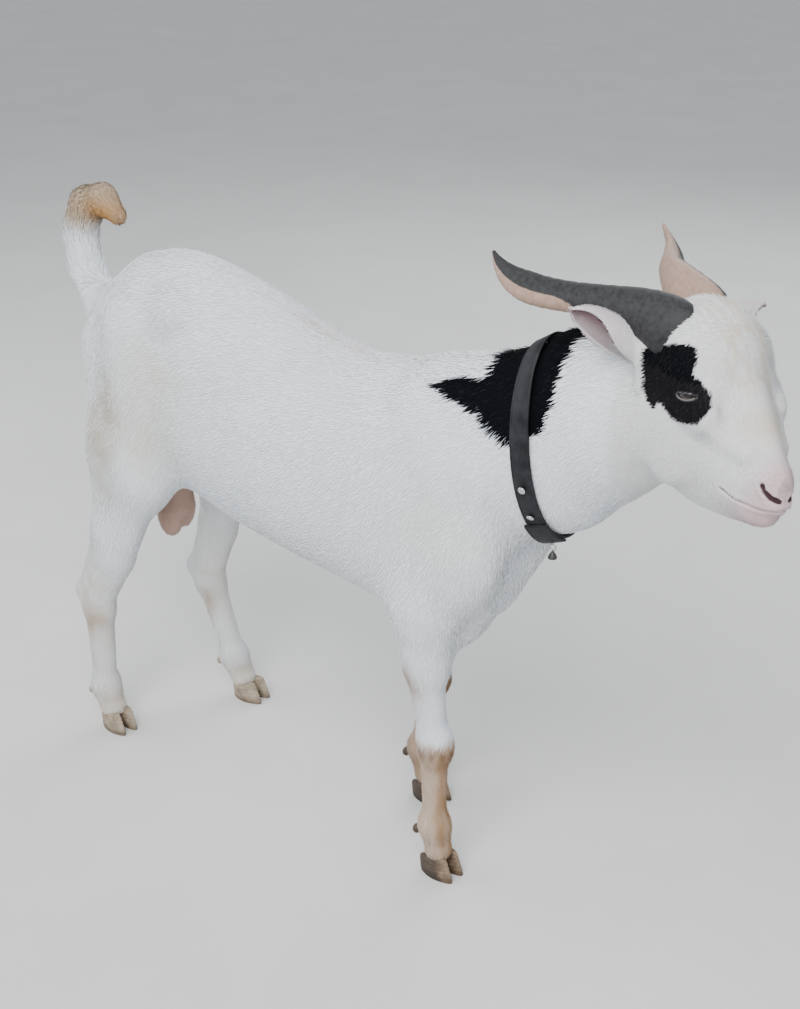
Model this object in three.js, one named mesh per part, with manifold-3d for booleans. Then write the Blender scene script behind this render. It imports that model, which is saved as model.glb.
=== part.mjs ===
// A standing billy goat with swept-back horns, tubular ears, an upright tail and a studded collar.
// Life size, in millimetres. +X runs to the front, +Y to the animal's left and +Z up.
// The hooves stand on z = 0.
// The flesh is one smooth field of bones and muscles. It is meshed part by part and cut along thin planes.
import * as THREE from "three";
import { mergeVertices } from "three/addons/utils/BufferGeometryUtils.js";
import Module from "manifold-3d";

// ---------------------------------------------------------------- driving dimensions
const GAP = 0.3; // clearance between neighbouring solids
const FAR = 2000; // longer than the animal, for half-space cutters
const RIGHT = -1;
const LEFT = 1;
const sideName = (side) => (side === RIGHT ? "right" : "left");

// The trunk's outline along the mid plane: [x, top, bottom, half width].
const TRUNK = [
  [-560, 682, 560, 54],
  [-505, 730, 470, 80],
  [-440, 753, 425, 90],
  [-370, 752, 408, 96],
  [-280, 729, 392, 108],
  [-190, 697, 382, 114],
  [-100, 676, 370, 110],
  [-20, 676, 352, 97],
  [45, 684, 345, 80],
  [110, 690, 390, 62],
];

// Joint centres of the four legs.
const LEGS = {
  fore_right: {
    side: RIGHT,
    elbow: [24, -66, 392],
    knee: [49, -66, 203],
    fetlock: [49, -65, 78],
    hoof: [57, -60, 0],
    toe: -4,
  },
  fore_left: {
    side: LEFT,
    elbow: [-30, 66, 392],
    knee: [-54, 65, 203],
    fetlock: [-72, 64, 78],
    hoof: [-54, 62, 0],
    toe: -5,
  },
  hind_right: {
    side: RIGHT,
    stifle: [-450, -82, 452],
    hock: [-569, -91, 214],
    fetlock: [-571, -93, 68],
    hoof: [-546, -94, 0],
    toe: -6,
  },
  hind_left: {
    side: LEFT,
    stifle: [-436, 82, 452],
    hock: [-521, 91, 197],
    fetlock: [-478, 93, 66],
    hoof: [-445, 95, 0],
    toe: 4,
  },
};

// The face below the brow, in the head's own frame: [x, top, bottom, half width].
const FACE = [
  [-190, 150, -27, 38],
  [-172, 161, -34, 45],
  [-148, 165, -39, 48],
  [-124, 155, -41, 48],
  [-100, 134, -39, 46],
  [-76, 107, -36, 41],
  [-56, 83, -32, 33],
  [-38, 62, -26, 25],
  [-24, 45, -16, 17],
  [-15, 33, -4, 10],
];

// The head's own frame has its origin at the front of the lips, +X along the mouth line, +Z to the crown.
const HEAD_PLACE = [497, -88, 664];
const HEAD_TURN = { yaw: -22, pitch: -1.4, roll: -4.6 };

// Horns and ears in the head's frame, with Y as for the left side.
// Horn section: [t, half depth, half thickness, turn].
const HORN = {
  path: {
    right: [[-151, 30, 129], [-246, 56, 172], [-325, 112, 104], [-376, 117, 168]],
    left: [[-171, 27, 130], [-303, 20, 196], [-326, 127, 121], [-385, 119, 183]],
  },
  section: [
    [0, 29, 22, 0],
    [0.05, 34, 25, -2],
    [0.12, 31, 24, -6],
    [0.28, 21.5, 17.5, -14],
    [0.45, 17.5, 14.5, -22],
    [0.6, 18, 11.5, -26],
    [0.75, 17.5, 9, -28],
    [0.88, 11.5, 6, -30],
    [1, 2, 1.6, -30],
  ],
  rings: 10,
  sides: 8,
};
// Ear section: [t, radius, arc behind, arc before, shift to the open side, thickness].
const EAR = {
  root: [-198, 44, 104],
  tip: { right: [-220, 124, 149], left: [-214, 131, 135] },
  open: [0.2, 0.6, -0.75],
  section: [
    [0, 20, 150, 150, 0, 5],
    [0.3, 21, 145, 140, 0, 4.4],
    [0.5, 20, 140, 115, 0, 4],
    [0.68, 17.5, 132, 80, 0, 4],
    [0.85, 13, 115, 60, 1, 3.8],
    [1, 3.5, 80, 50, 2, 3.4],
  ],
  rings: 7,
  arc: 6,
};
const CLAW = {
  length: 52,
  width: 18.5,
  cleft: 1.6,
  toe: 33,
  heel: 22,
  lean: 7,
  rings: [[0, 1], [0.12, 1.02], [1, 0.86]],
  sides: 10,
};
const CORONET = { height: 30, slope: 0.22 }; // the top of the horn wall, rising to the toe
const DEWCLAW = { at: [-21, 10, -12], size: [6, 6, 8] };
// Mesh cell sizes for each part, in millimetres.
const CELL = {
  trunk: [50, 33, 37],
  neck: [30, 25, 28],
  head: [15.4, 15, 15.2],
  tail: [20, 18, 22],
  small: [20, 17, 22],
  upperLeg: [27, 21, 31],
  lowerLeg: [16, 15, 29],
};
const COLLAR = {
  centre: [176, -6, 619],
  up: [-29, 0, 233], // from the bottom of the strap to its top
  width: 25,
  thick: 3.5,
  clearance: 2,
  segments: 28,
  lap: [-34, -6], // the doubled end of the strap, in degrees from the bottom
  studs: [-71.5, -43.5],
  charm: -9,
};

// The little bell under the strap, hung from a ring. Profile: [radius, height].
const CHARM = {
  ring: 3.8,
  wire: 1,
  profile: [
    [0, 0],
    [5.2, 0],
    [5.6, 1.2],
    [4.2, 5],
    [2, 8],
    [0, 9],
  ],
};

// ---------------------------------------------------------------- fields: negative inside, in millimetres
const V = (...xyz) => new THREE.Vector3(...xyz.flat());
const mix = (a, b, t) => a.map((v, i) => v + (b[i] - v) * t);

// A limb from a to b whose radius runs from ra to rb. flat is its sideways width over its depth.
function limb(a, ra, b, rb, flat = 1) {
  const [ax, ay, az] = a;
  const dx = b[0] - ax;
  const dy = b[1] - ay;
  const dz = b[2] - az;
  const squared = dx * dx + dy * dy + dz * dz;
  return (x, y, z) => {
    const t = Math.min(1, Math.max(0, ((x - ax) * dx + (y - ay) * dy + (z - az) * dz) / squared));
    const side = (y - ay - dy * t) / flat;
    return Math.hypot(x - ax - dx * t, side, z - az - dz * t) - (ra + (rb - ra) * t);
  };
}

// An ellipsoid with half sizes r, pitched about the sideways axis by tilt degrees.
function egg(c, r, tilt = 0) {
  const co = Math.cos((tilt * Math.PI) / 180);
  const si = Math.sin((tilt * Math.PI) / 180);
  return (x, y, z) => {
    const u = ((x - c[0]) * co + (z - c[2]) * si) / r[0];
    const v = (y - c[1]) / r[1];
    const w = ((z - c[2]) * co - (x - c[0]) * si) / r[2];
    const size = Math.hypot(u, v, w);
    return (size * (size - 1)) / (Math.hypot(u / r[0], v / r[1], w / r[2]) + 1e-9);
  };
}

// Smooth interpolation through a table's rows, by its first column.
function tableAt(rows, x) {
  const last = rows.length - 1;
  const at = Math.min(rows[last][0], Math.max(rows[0][0], x));
  let i = 0;
  while (i < last - 1 && rows[i + 1][0] < at) i++;
  const [p0, p1, p2, p3] = [rows[Math.max(0, i - 1)], rows[i], rows[i + 1], rows[Math.min(last, i + 2)]];
  const span = p2[0] - p1[0];
  const t = (at - p1[0]) / span;
  return p1.map((v, k) => {
    const m1 = ((p2[k] - p0[k]) / (p2[0] - p0[0])) * span;
    const m2 = ((p3[k] - p1[k]) / (p3[0] - p1[0])) * span;
    const t2 = t * t;
    const t3 = t2 * t;
    return (2 * t3 - 3 * t2 + 1) * v + (t3 - 2 * t2 + t) * m1 + (3 * t2 - 2 * t3) * p2[k] + (t3 - t2) * m2;
  });
}

// The barrel: an upright oval section at each x, narrower towards the spine.
function barrel(rows, profile = (v) => 1 - 0.16 * v) {
  const [low, high] = [rows[0][0], rows[rows.length - 1][0]];
  return (x, y, z) => {
    const [, top, bottom, half] = tableAt(rows, x);
    const h = (top - bottom) / 2;
    const v = (z - (top + bottom) / 2) / h;
    const w = half * profile(Math.max(-1, Math.min(1, v)));
    const size = Math.hypot(y / w, v);
    const d = (size * (size - 1)) / (Math.hypot(y / (w * w), v / h) + 1e-6);
    const past = Math.max(low - x, x - high, 0);
    return past > 0 ? Math.hypot(Math.max(d, 0), past) : d;
  };
}

const soft = (a, b, k) => {
  const h = Math.max(k - Math.abs(a - b), 0) / k;
  return Math.min(a, b) - (h * h * k) / 4;
};
const join = (k, ...shapes) => (x, y, z) => shapes.reduce((d, s) => soft(d, s(x, y, z), k), 1e4);
const carve = (k, shape, cut) => (x, y, z) => -soft(-shape(x, y, z), cut(x, y, z), k);

// ---------------------------------------------------------------- the legs' flesh
function foreLeg({ side, elbow, knee, fetlock, hoof }) {
  const coronet = mix(fetlock, hoof, 0.52);
  const shoulder = [86, side * 56, 480];
  return join(
    14,
    join(
      34,
      limb([10, side * 38, 640], 30, shoulder, 40, 0.62), // shoulder blade
      limb(shoulder, 40, elbow, 36, 0.72), // upper arm
      limb([6, side * 50, 500], 32, [elbow[0] + 6, elbow[1], elbow[2] + 10], 25, 0.74), // triceps
      limb([elbow[0] + 14, elbow[1], elbow[2]], 35, mix(elbow, knee, 0.42), 29, 0.76), // forearm's muscle
    ),
    limb(mix(elbow, knee, 0.35), 27, knee, 20, 0.82),
    egg([elbow[0] - 16, elbow[1], elbow[2] - 10], [12, 11, 15]), // point of the elbow
    egg([knee[0] + 3, knee[1], knee[2]], [25, 21.5, 30]),
    limb(mix(knee, fetlock, 0.15), 19, mix(knee, fetlock, 0.8), 16.5, 0.86),
    egg(fetlock, [21, 19, 22]),
    limb(fetlock, 18, coronet, 18.5, 1),
  );
}

function hindLeg({ side, stifle, hock, fetlock, hoof }) {
  const coronet = mix(fetlock, hoof, 0.5);
  const heel = [hock[0] - 30, hock[1], hock[2] + 8]; // point of the hock
  const pin = [-545, side * 46, 612]; // seat bone
  const ham = [stifle[0] - 59, stifle[1] - side * 4, 475];
  const shank = mix(stifle, hock, 0.62);
  const calf = [hock[0] + 42, hock[1], 350];
  return join(
    14,
    join(
      46,
      limb([-462, side * 50, 650], 60, stifle, 46, 0.76), // thigh
      limb(pin, 38, ham, 43, 0.74), // hamstrings
      limb(stifle, 37, shank, 31, 0.72), // gaskin
      limb(ham, 36, calf, 25, 0.72),
    ),
    limb(shank, 33, hock, 24, 0.72),
    limb(calf, 24, heel, 12, 0.72), // the tendon behind the gaskin
    egg([hock[0], hock[1], hock[2] - 4], [28, 21, 31]),
    egg(heel, [13, 12, 15]),
    limb(mix(hock, fetlock, 0.12), 24, mix(hock, fetlock, 0.85), 20, 0.82),
    egg(fetlock, [23, 20, 23]),
    limb(fetlock, 20, coronet, 20, 1),
  );
}

// ---------------------------------------------------------------- trunk, neck, tail
const legFlesh = Object.fromEntries(
  Object.entries(LEGS).map(([name, leg]) => [name, leg.stifle ? hindLeg(leg) : foreLeg(leg)]),
);
const hips = join(
  30,
  egg([-385, -56, 690], [34, 24, 26]), // hip bones
  egg([-385, 56, 690], [34, 24, 26]),
  limb([-490, 0, 690], 40, [-585, 0, 644], 30, 0.95), // root of the tail
);
const chest = join(
  40,
  egg([44, 0, 472], [72, 62, 110], -14), // breast
  egg([40, 0, 366], [36, 40, 32], -30), // tip of the breastbone
  limb([34, -14, 352], 26, [35, -54, 323], 21), // its muscles to the forearms
  limb([14, 14, 354], 26, [-20, 54, 326], 21),
  limb([80, 0, 672], 28, [-60, 0, 640], 36, 0.8), // withers
  limb([98, -36, 524], 29, [80, -50, 440], 30), // points of the shoulders
  limb([98, 36, 524], 29, [80, 50, 440], 30),
);
const NECK = [
  { at: [70, 0, 592], r: 118 },
  { at: [165, -2, 628], r: 104 },
  { at: [238, -8, 680], r: 94 },
  { at: [300, -12, 716], r: 76 },
];
const NECK_FLAT = 0.62;
const neckFlesh = join(
  22,
  ...NECK.slice(1).map((n, i) => limb(NECK[i].at, NECK[i].r, n.at, n.r, NECK_FLAT)),
);

const TAIL = [
  { at: [-600, 0, 648], r: 25 },
  { at: [-634, 2, 702], r: 25 },
  { at: [-640, 4, 750], r: 25 },
  { at: [-620, 5, 788], r: 24 },
  { at: [-586, 5, 800], r: 21 },
  { at: [-558, 5, 782], r: 14 },
];
const tailFlesh = join(12, ...TAIL.slice(1).map((n, i) => limb(TAIL[i].at, TAIL[i].r, n.at, n.r, 0.9)));

const SCROTUM = [-478, 0, 408];
const scrotumFlesh = join(
  10,
  limb([SCROTUM[0] + 4, 0, SCROTUM[2] + 44], 28, SCROTUM, 25),
  limb(SCROTUM, 24, [SCROTUM[0] - 2, 0, SCROTUM[2] - 40], 27, 1),
  egg([SCROTUM[0] - 4, -12, SCROTUM[2] - 56], [22, 17, 34]),
  egg([SCROTUM[0] - 4, 12, SCROTUM[2] - 52], [22, 17, 32]),
);

// ---------------------------------------------------------------- the head, in its own frame
const EYE = [-113, 43.5, 88]; // left eye; the right one mirrors it
const EYE_RADIUS = 14.5;
const EAR_ROOT = [-188, 48, 112];
const HORN_ROOT = [-166, 30, 136];
const headMatrix = new THREE.Matrix4().makeRotationFromEuler(
  new THREE.Euler(...[HEAD_TURN.roll, -HEAD_TURN.pitch, HEAD_TURN.yaw].map(THREE.MathUtils.degToRad), "ZYX"),
);
headMatrix.setPosition(...HEAD_PLACE);
const toHead = headMatrix.clone().invert();

const both = (make) => [make(RIGHT), make(LEFT)];
const face = barrel(FACE, (v) => 1 - (v > 0 ? 0.12 : 0.2) * v * v);
const headLocal = join(
  12,
  join(
    22,
    face,
    egg([-154, 0, 108], [58, 50, 58], -16), // braincase
    egg([-134, 0, 118], [42, 57, 38], -34), // forehead
    ...both((s) => egg([-146, s * 33, 24], [36, 13, 42])), // masseters
    ...both((s) => limb([EYE[0] - 18, s * 38, 106], 10, [EYE[0] + 12, s * 36, 94], 8)), // brows
  ),
  ...both((s) => egg([EYE[0] + 10, s * 43, EYE[2] - 13], [28, 13, 20])), // eye sockets
  ...both((s) => limb([EYE[0] + 22, s * 36.5, 64], 13, [EYE[0] + 62, s * 22, 47], 7)), // cheekbones
  egg([-31, 0, 23], [17, 18, 18]), // nose
  egg([-28, 0, 3], [18, 18, 11]), // upper lip
  egg([-42, 0, -14], [21, 15, 12], -8), // chin
  ...both((s) => egg([EAR_ROOT[0] + 6, s * (EAR_ROOT[1] - 6), EAR_ROOT[2] - 4], [20, 17, 24])),
  ...both((s) => egg([HORN_ROOT[0], s * HORN_ROOT[1], HORN_ROOT[2]], [27, 21, 24])),
);
const inHead = (shape) => {
  const e = toHead.elements;
  return (x, y, z) =>
    shape(
      e[0] * x + e[4] * y + e[8] * z + e[12],
      e[1] * x + e[5] * y + e[9] * z + e[13],
      e[2] * x + e[6] * y + e[10] * z + e[14],
    );
};
const headFlesh = inHead(headLocal);

const flesh = join(
  26,
  join(30, barrel(TRUNK), chest, ...Object.values(legFlesh)),
  hips,
  tailFlesh,
  join(30, neckFlesh, headFlesh),
);

// ---------------------------------------------------------------- meshing
const CORNERS = [0, 1, 2, 3, 4, 5, 6, 7].map((n) => [n & 1, (n >> 1) & 1, n >> 2]);
const EDGES = [];
for (let n = 0; n < 8; n++) for (const bit of [1, 2, 4]) if (!(n & bit)) EDGES.push([n, n | bit]);
const edgeFrom = (corner, bit) => EDGES.findIndex(([a, b]) => a === corner && b === (corner | bit));
// Each face of a cell as its four corners in turn.
const FACES = [1, 2, 4].flatMap((bit) => {
  const [u, w] = [1, 2, 4].filter((other) => other !== bit);
  return [0, bit].map((base) => [base, base | u, base | u | w, base | w]);
});
const edgeBetween = (a, b) => EDGES.findIndex(([p, q]) => p === Math.min(a, b) && q === Math.max(a, b));

// The sheets of surface in a cell, each as the list of cell edges it crosses.
function sheets(inside) {
  const group = EDGES.map((_, n) => n);
  const root = (n) => (group[n] === n ? n : root(group[n]));
  for (const face of FACES)
    for (let n = 0; n < 4; n++) {
      if (!inside[face[n]]) continue;
      // walk both ways round the face from this inside corner to the first crossings
      const ends = [1, 3].map((step) => {
        let m = n;
        for (let k = 0; k < 4 && inside[face[(m + step) % 4]]; k++) m = (m + step) % 4;
        return [face[m], face[(m + step) % 4]];
      });
      if (ends.some(([p, q]) => inside[p] === inside[q])) continue;
      const [e, f] = ends.map(([p, q]) => root(edgeBetween(p, q)));
      group[e] = f;
    }
  const found = {};
  EDGES.forEach(([a, b], n) => {
    if (inside[a] !== inside[b]) (found[root(n)] ||= []).push(n);
  });
  return Object.values(found);
}

// Dual mesh of a field: one vertex for each sheet in each cell, moved onto the surface.
function polygonize(field, low, high, cell, offset = 0) {
  const [nx, ny, nz] = [0, 1, 2].map((i) => Math.ceil((high[i] - low[i]) / cell[i]) + 1);
  const at = (i, j, k) => (k * ny + j) * nx + i;
  const values = new Float32Array(nx * ny * nz);
  const value = (x, y, z) => field(x, y, z) - offset;
  for (let k = 0; k < nz; k++)
    for (let j = 0; j < ny; j++)
      for (let i = 0; i < nx; i++) {
        const rim = i === 0 || j === 0 || k === 0 || i === nx - 1 || j === ny - 1 || k === nz - 1;
        const v = value(low[0] + i * cell[0], low[1] + j * cell[1], low[2] + k * cell[2]);
        values[at(i, j, k)] = rim ? Math.max(v, 1) : v;
      }
  const position = [];
  const vertexOn = new Int32Array(values.length * EDGES.length).fill(-1);
  for (let k = 0; k < nz - 1; k++)
    for (let j = 0; j < ny - 1; j++)
      for (let i = 0; i < nx - 1; i++) {
        const v = CORNERS.map(([a, b, c]) => values[at(i + a, j + b, k + c)]);
        const inside = v.map((d) => d < 0);
        if (inside.every((d) => d === inside[0])) continue;
        for (const sheet of sheets(inside)) {
          const sum = [0, 0, 0];
          for (const e of sheet) {
            const [a, b] = EDGES[e];
            const t = v[a] / (v[a] - v[b]);
            for (let n = 0; n < 3; n++) sum[n] += CORNERS[a][n] + (CORNERS[b][n] - CORNERS[a][n]) * t;
            vertexOn[at(i, j, k) * EDGES.length + e] = position.length / 3;
          }
          const cellAt = [i, j, k];
          const p = sum.map((s, n) => low[n] + (cellAt[n] + s / sheet.length) * cell[n]);
          position.push(...ontoSurface(value, p, Math.min(...cell) * 0.45));
        }
      }
  const index = [];
  const steps = [at(1, 0, 0), at(0, 1, 0), at(0, 0, 1)];
  for (let k = 0; k < nz - 1; k++)
    for (let j = 0; j < ny - 1; j++)
      for (let i = 0; i < nx - 1; i++)
        for (let axis = 0; axis < 3; axis++) {
          const here = at(i, j, k);
          const inside = values[here] < 0;
          const [u, w] = [(axis + 1) % 3, (axis + 2) % 3];
          if (inside === values[here + steps[axis]] < 0 || ![i, j, k][u] || ![i, j, k][w]) continue;
          const quad = [[1, 1], [0, 1], [0, 0], [1, 0]].map(([a, b]) => {
            const home = here - a * steps[u] - b * steps[w];
            return vertexOn[home * EDGES.length + edgeFrom((a << u) | (b << w), 1 << axis)];
          });
          if (!inside) quad.reverse();
          index.push(...split(quad, position));
        }
  const geometry = new THREE.BufferGeometry();
  geometry.setAttribute("position", new THREE.Float32BufferAttribute(position, 3));
  geometry.setIndex(index);
  return geometry;
}

function ontoSurface(value, p, reach) {
  const start = [...p];
  const h = 0.5;
  for (let pass = 0; pass < 3; pass++) {
    const [x, y, z] = p;
    const d = value(x, y, z);
    const g = [
      value(x + h, y, z) - value(x - h, y, z),
      value(x, y + h, z) - value(x, y - h, z),
      value(x, y, z + h) - value(x, y, z - h),
    ].map((v) => v / (2 * h));
    const squared = g[0] * g[0] + g[1] * g[1] + g[2] * g[2] + 1e-9;
    p = p.map((v, n) => Math.min(start[n] + reach, Math.max(start[n] - reach, v - (g[n] * d) / squared)));
  }
  return p;
}

// Splits a quad along its shorter diagonal.
function split([a, b, c, d], position) {
  const gap = (m, n, k) => position[3 * m + k] - position[3 * n + k];
  const apart = (m, n) => Math.hypot(gap(m, n, 0), gap(m, n, 1), gap(m, n, 2));
  return apart(a, c) <= apart(b, d) ? [a, b, c, a, c, d] : [a, b, d, b, c, d];
}

// ---------------------------------------------------------------- booleans
const wasm = await Module();
wasm.setup();

function solid(geometry, matrix) {
  const bare = new THREE.BufferGeometry();
  const source = geometry.index ? geometry.toNonIndexed() : geometry;
  bare.setAttribute("position", source.getAttribute("position").clone());
  if (matrix) bare.applyMatrix4(matrix);
  const merged = mergeVertices(bare, 1e-3);
  return new wasm.Manifold(
    new wasm.Mesh({
      numProp: 3,
      vertProperties: merged.getAttribute("position").array,
      triVerts: new Uint32Array(merged.index.array),
    }),
  );
}

// The largest body of a solid, so that no crumb of a cut is left beside it.
function largest(s) {
  return s.decompose().sort((a, b) => b.volume() - a.volume())[0];
}

// ---------------------------------------------------------------- swept bodies
// A closed body through rings of equal length, capped by a fan at each end.
function loft(rings) {
  const n = rings[0].length;
  const points = rings.flat();
  const middle = (ring) => ring.reduce((sum, p) => sum.add(p), V(0, 0, 0)).divideScalar(n);
  points.push(middle(rings[0]), middle(rings[rings.length - 1]));
  const index = [];
  for (let r = 0; r + 1 < rings.length; r++)
    for (let i = 0; i < n; i++) {
      const [a, b] = [r * n + i, r * n + ((i + 1) % n)];
      index.push(a, b, b + n, a, b + n, a + n);
    }
  const last = (rings.length - 1) * n;
  for (let i = 0; i < n; i++) {
    index.push(points.length - 2, (i + 1) % n, i);
    index.push(points.length - 1, last + i, last + ((i + 1) % n));
  }
  const geometry = new THREE.BufferGeometry();
  geometry.setAttribute("position", new THREE.Float32BufferAttribute(points.flatMap((p) => p.toArray()), 3));
  geometry.setIndex(index);
  return geometry;
}

// Horn: a flat blade swept along a curve, its broad side turning outwards on the way to the tip.
function hornShape(side, grow = 0) {
  const path = new THREE.CubicBezierCurve3(
    ...HORN.path[sideName(side)].map(([x, y, z]) => V(x, side * y, z)),
  );
  const rings = [];
  for (let r = 0; r <= HORN.rings; r++) {
    const t = r / HORN.rings;
    const along = path.getTangent(t);
    const turn = THREE.MathUtils.degToRad(side * tableAt(HORN.section, t)[3]);
    const tall = V(0, 0, 1).addScaledVector(along, -along.z).normalize().applyAxisAngle(along, turn);
    const wide = V(0, 0, 0).crossVectors(along, tall);
    const [a, b] = tableAt(HORN.section, t).slice(1, 3).map((half) => half + grow);
    rings.push(
      Array.from({ length: HORN.sides }, (_, i) => {
        const angle = (i / HORN.sides) * 2 * Math.PI;
        const edge = Math.cos(angle) > 0 ? 1 : 0.86; // the front keel is the sharper one
        return path
          .getPoint(t)
          .addScaledVector(tall, a * edge * Math.cos(angle))
          .addScaledVector(wide, b * Math.sin(angle) * (1 - 0.18 * Math.cos(angle)));
      }),
    );
  }
  return loft(rings);
}

// Ear: a leaf rolled round its long axis, open along one side.
function earShape(side) {
  const root = V(EAR.root[0], side * EAR.root[1], EAR.root[2]);
  const [tipX, tipY, tipZ] = EAR.tip[sideName(side)];
  const tip = V(tipX, side * tipY, tipZ);
  const along = tip.clone().sub(root).normalize();
  const open = V(EAR.open[0], side * EAR.open[1], EAR.open[2]);
  open.addScaledVector(along, -open.dot(along)).normalize();
  const across = V(0, 0, 0).crossVectors(along, open).multiplyScalar(side);
  const rings = [];
  for (let r = 0; r <= EAR.rings; r++) {
    const t = r / EAR.rings;
    const [, radius, behind, before, bend, thick] = tableAt(EAR.section, t);
    const centre = root.clone().lerp(tip, t).addScaledVector(open, bend);
    const at = (q, shrink) => {
      const angle = THREE.MathUtils.degToRad((q > 0 ? behind : before) * q);
      return centre
        .clone()
        .addScaledVector(open, -Math.cos(angle) * (radius - shrink))
        .addScaledVector(across, Math.sin(angle) * (radius - shrink) * 0.86);
    };
    const ring = [];
    for (let i = 0; i <= EAR.arc; i++) ring.push(at((2 * i) / EAR.arc - 1, 0));
    for (let i = EAR.arc - 1; i > 0; i--) ring.push(at(((2 * i) / EAR.arc - 1) * 0.97, thick));
    rings.push(side > 0 ? ring.reverse() : ring);
  }
  return loft(rings);
}

// One claw of a hoof: flat sole, pointed toe, walls leaning in, top sloping down to the heel.
function clawShape({ hoof, toe }, side) {
  const rings = CLAW.rings.map(([low, grow]) =>
    Array.from({ length: CLAW.sides }, (_, i) => {
      const angle = (i / CLAW.sides) * 2 * Math.PI;
      const [co, si] = [Math.cos(angle), Math.sin(angle)];
      const x = CLAW.length * 0.5 * co * (co > 0 ? 1.06 : 0.94);
      const outer = si * side > 0;
      const narrow = 1 - 0.3 * Math.max(0, co) ** 1.5;
      const y = side * CLAW.width * 0.5 + CLAW.width * 0.5 * si * (outer ? 1.12 * narrow : 0.86) * grow;
      const top = CLAW.heel + ((CLAW.toe - CLAW.heel) * (x + CLAW.length / 2)) / CLAW.length;
      return V(x * grow - low * CLAW.lean, y + side * CLAW.cleft, low * top);
    }),
  );
  const place = new THREE.Matrix4().makeRotationZ(THREE.MathUtils.degToRad(toe));
  place.setPosition(...hoof);
  const geometry = loft(rings);
  geometry.applyMatrix4(place);
  return geometry;
}

const materials = {};
function material(name, color, roughness, metalness = 0) {
  materials[name] = new THREE.MeshStandardMaterial({ color, roughness, metalness });
}
material("white_coat", 0xe4e3dc, 0.85);
material("tan_coat", 0xb98f62, 0.85);
material("skin", 0xc79b83, 0.6);
material("eye", 0x1a1512, 0.08);
material("horn", 0x47484a, 0.45);
material("hoof", 0x6a5744, 0.6);
material("strap", 0x16171b, 0.5);
material("steel", 0xb9bbbd, 0.3, 0.9);
material("charm", 0x222226, 0.5);

const goat = new THREE.Group();
function add(name, s, slot) {
  const mesh = s.getMesh();
  const geometry = new THREE.BufferGeometry();
  geometry.setAttribute("position", new THREE.BufferAttribute(new Float32Array(mesh.vertProperties), 3));
  geometry.setIndex(new THREE.BufferAttribute(new Uint32Array(mesh.triVerts), 1));
  geometry.computeVertexNormals();
  const piece = new THREE.Mesh(geometry, materials[slot]);
  piece.name = name;
  goat.add(piece);
}

// A slab cutter: everything on the side that normal points to, from a plane through point.
function beyond(point, normal, shift = 0) {
  const n = V(normal).normalize();
  const turn = new THREE.Quaternion().setFromUnitVectors(V(0, 0, 1), n);
  const centre = V(point).addScaledVector(n, FAR / 2 + shift);
  return solid(new THREE.BoxGeometry(FAR, FAR, FAR), new THREE.Matrix4().compose(centre, turn, V(1, 1, 1)));
}
function block(low, high, grow = 0) {
  const size = high.map((v, i) => v - low[i] + 2 * grow);
  const centre = V(low).add(V(high)).multiplyScalar(0.5);
  return solid(new THREE.BoxGeometry(...size), new THREE.Matrix4().setPosition(centre));
}

// ---------------------------------------------------------------- cutting planes
const HALF_GAP = GAP / 2;
// The solid above a foot's coronet plane.
function coronetOf(leg) {
  return beyond([leg.hoof[0], 0, CORONET.height], [-CORONET.slope, 0, 1], -HALF_GAP);
}
const neckCut = { point: [86, 0, 700], normal: [0.975, 0, 0.223] };
const headCut = { point: [-196, 0, 80], normal: [0.987, 0, 0.163] };
headCut.point = V(headCut.point).applyMatrix4(headMatrix).toArray();
headCut.normal = V(headCut.normal).transformDirection(headMatrix).toArray();
const tailCut = { point: [-580, 0, 660], normal: [-0.93, 0, 0.36] };

// The armpit and groin planes rise outwards from the mid plane.
const PITS = {
  fore: { inner: [0, 24, 352], rise: 0.86, x: [-95, 128] },
  hind: { inner: [0, 16, 402], rise: 0.95, x: [-680, -372] },
};
function legRegion(name, shift) {
  const { side } = LEGS[name];
  const { inner, rise, x } = PITS[name.split("_")[0]];
  const under = beyond([0, side * inner[1], inner[2]], [0, side * rise, -1], shift);
  const ys = side > 0 ? [0, FAR] : [-FAR, 0];
  const window = block([x[0], ys[0], -50], [x[1], ys[1], 700]);
  return under.intersect(window);
}

const eyes = [RIGHT, LEFT].map((side) => V(EYE[0], side * EYE[1], EYE[2]).applyMatrix4(headMatrix));
const ball = (centre, radius, detail = 1) =>
  solid(new THREE.IcosahedronGeometry(radius, detail), new THREE.Matrix4().setPosition(centre));

// ---------------------------------------------------------------- the strap's path round the neck
const collarUp = V(COLLAR.up).normalize();
const collarAxis = V(0, 0, 0).crossVectors(V(0, 1, 0), collarUp).normalize();
function neckReach(turn, slide) {
  const out = V(0, Math.sin(turn), 0).addScaledVector(collarUp, -Math.cos(turn));
  const from = V(COLLAR.centre).addScaledVector(collarAxis, slide);
  let reach = 0;
  for (let pass = 0; pass < 60; pass++) {
    const p = from.clone().addScaledVector(out, reach);
    reach += -flesh(p.x, p.y, p.z) * 0.7;
  }
  return { out, from, reach };
}
// A band round part of the neck, its section a slim rectangle with eased corners.
function band(start, end, steps, width, inner, thick) {
  const rings = [];
  const closed = end - start > 359;
  for (let i = 0; i < steps + (closed ? 0 : 1); i++) {
    const turn = THREE.MathUtils.degToRad(start + ((end - start) * i) / steps);
    rings.push(
      [
        [-0.5, 0.6],
        [-0.5, 0],
        [0, 0],
        [0.5, 0],
        [0.5, 0.6],
        [0.44, 1],
        [-0.44, 1],
      ].map(([across, rise]) => {
        const { out, from, reach } = neckReach(turn, across * width);
        return from.clone().addScaledVector(out, reach + inner + rise * thick);
      }),
    );
  }
  if (!closed) return loft(rings);
  const n = rings[0].length;
  const geometry = loft([...rings, rings[0]]);
  // the closed band has no end caps: drop the fans and join the last ring to the first
  const kept = Array.from(geometry.index.array).slice(0, rings.length * n * 6);
  geometry.setIndex(kept);
  return geometry;
}
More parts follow.
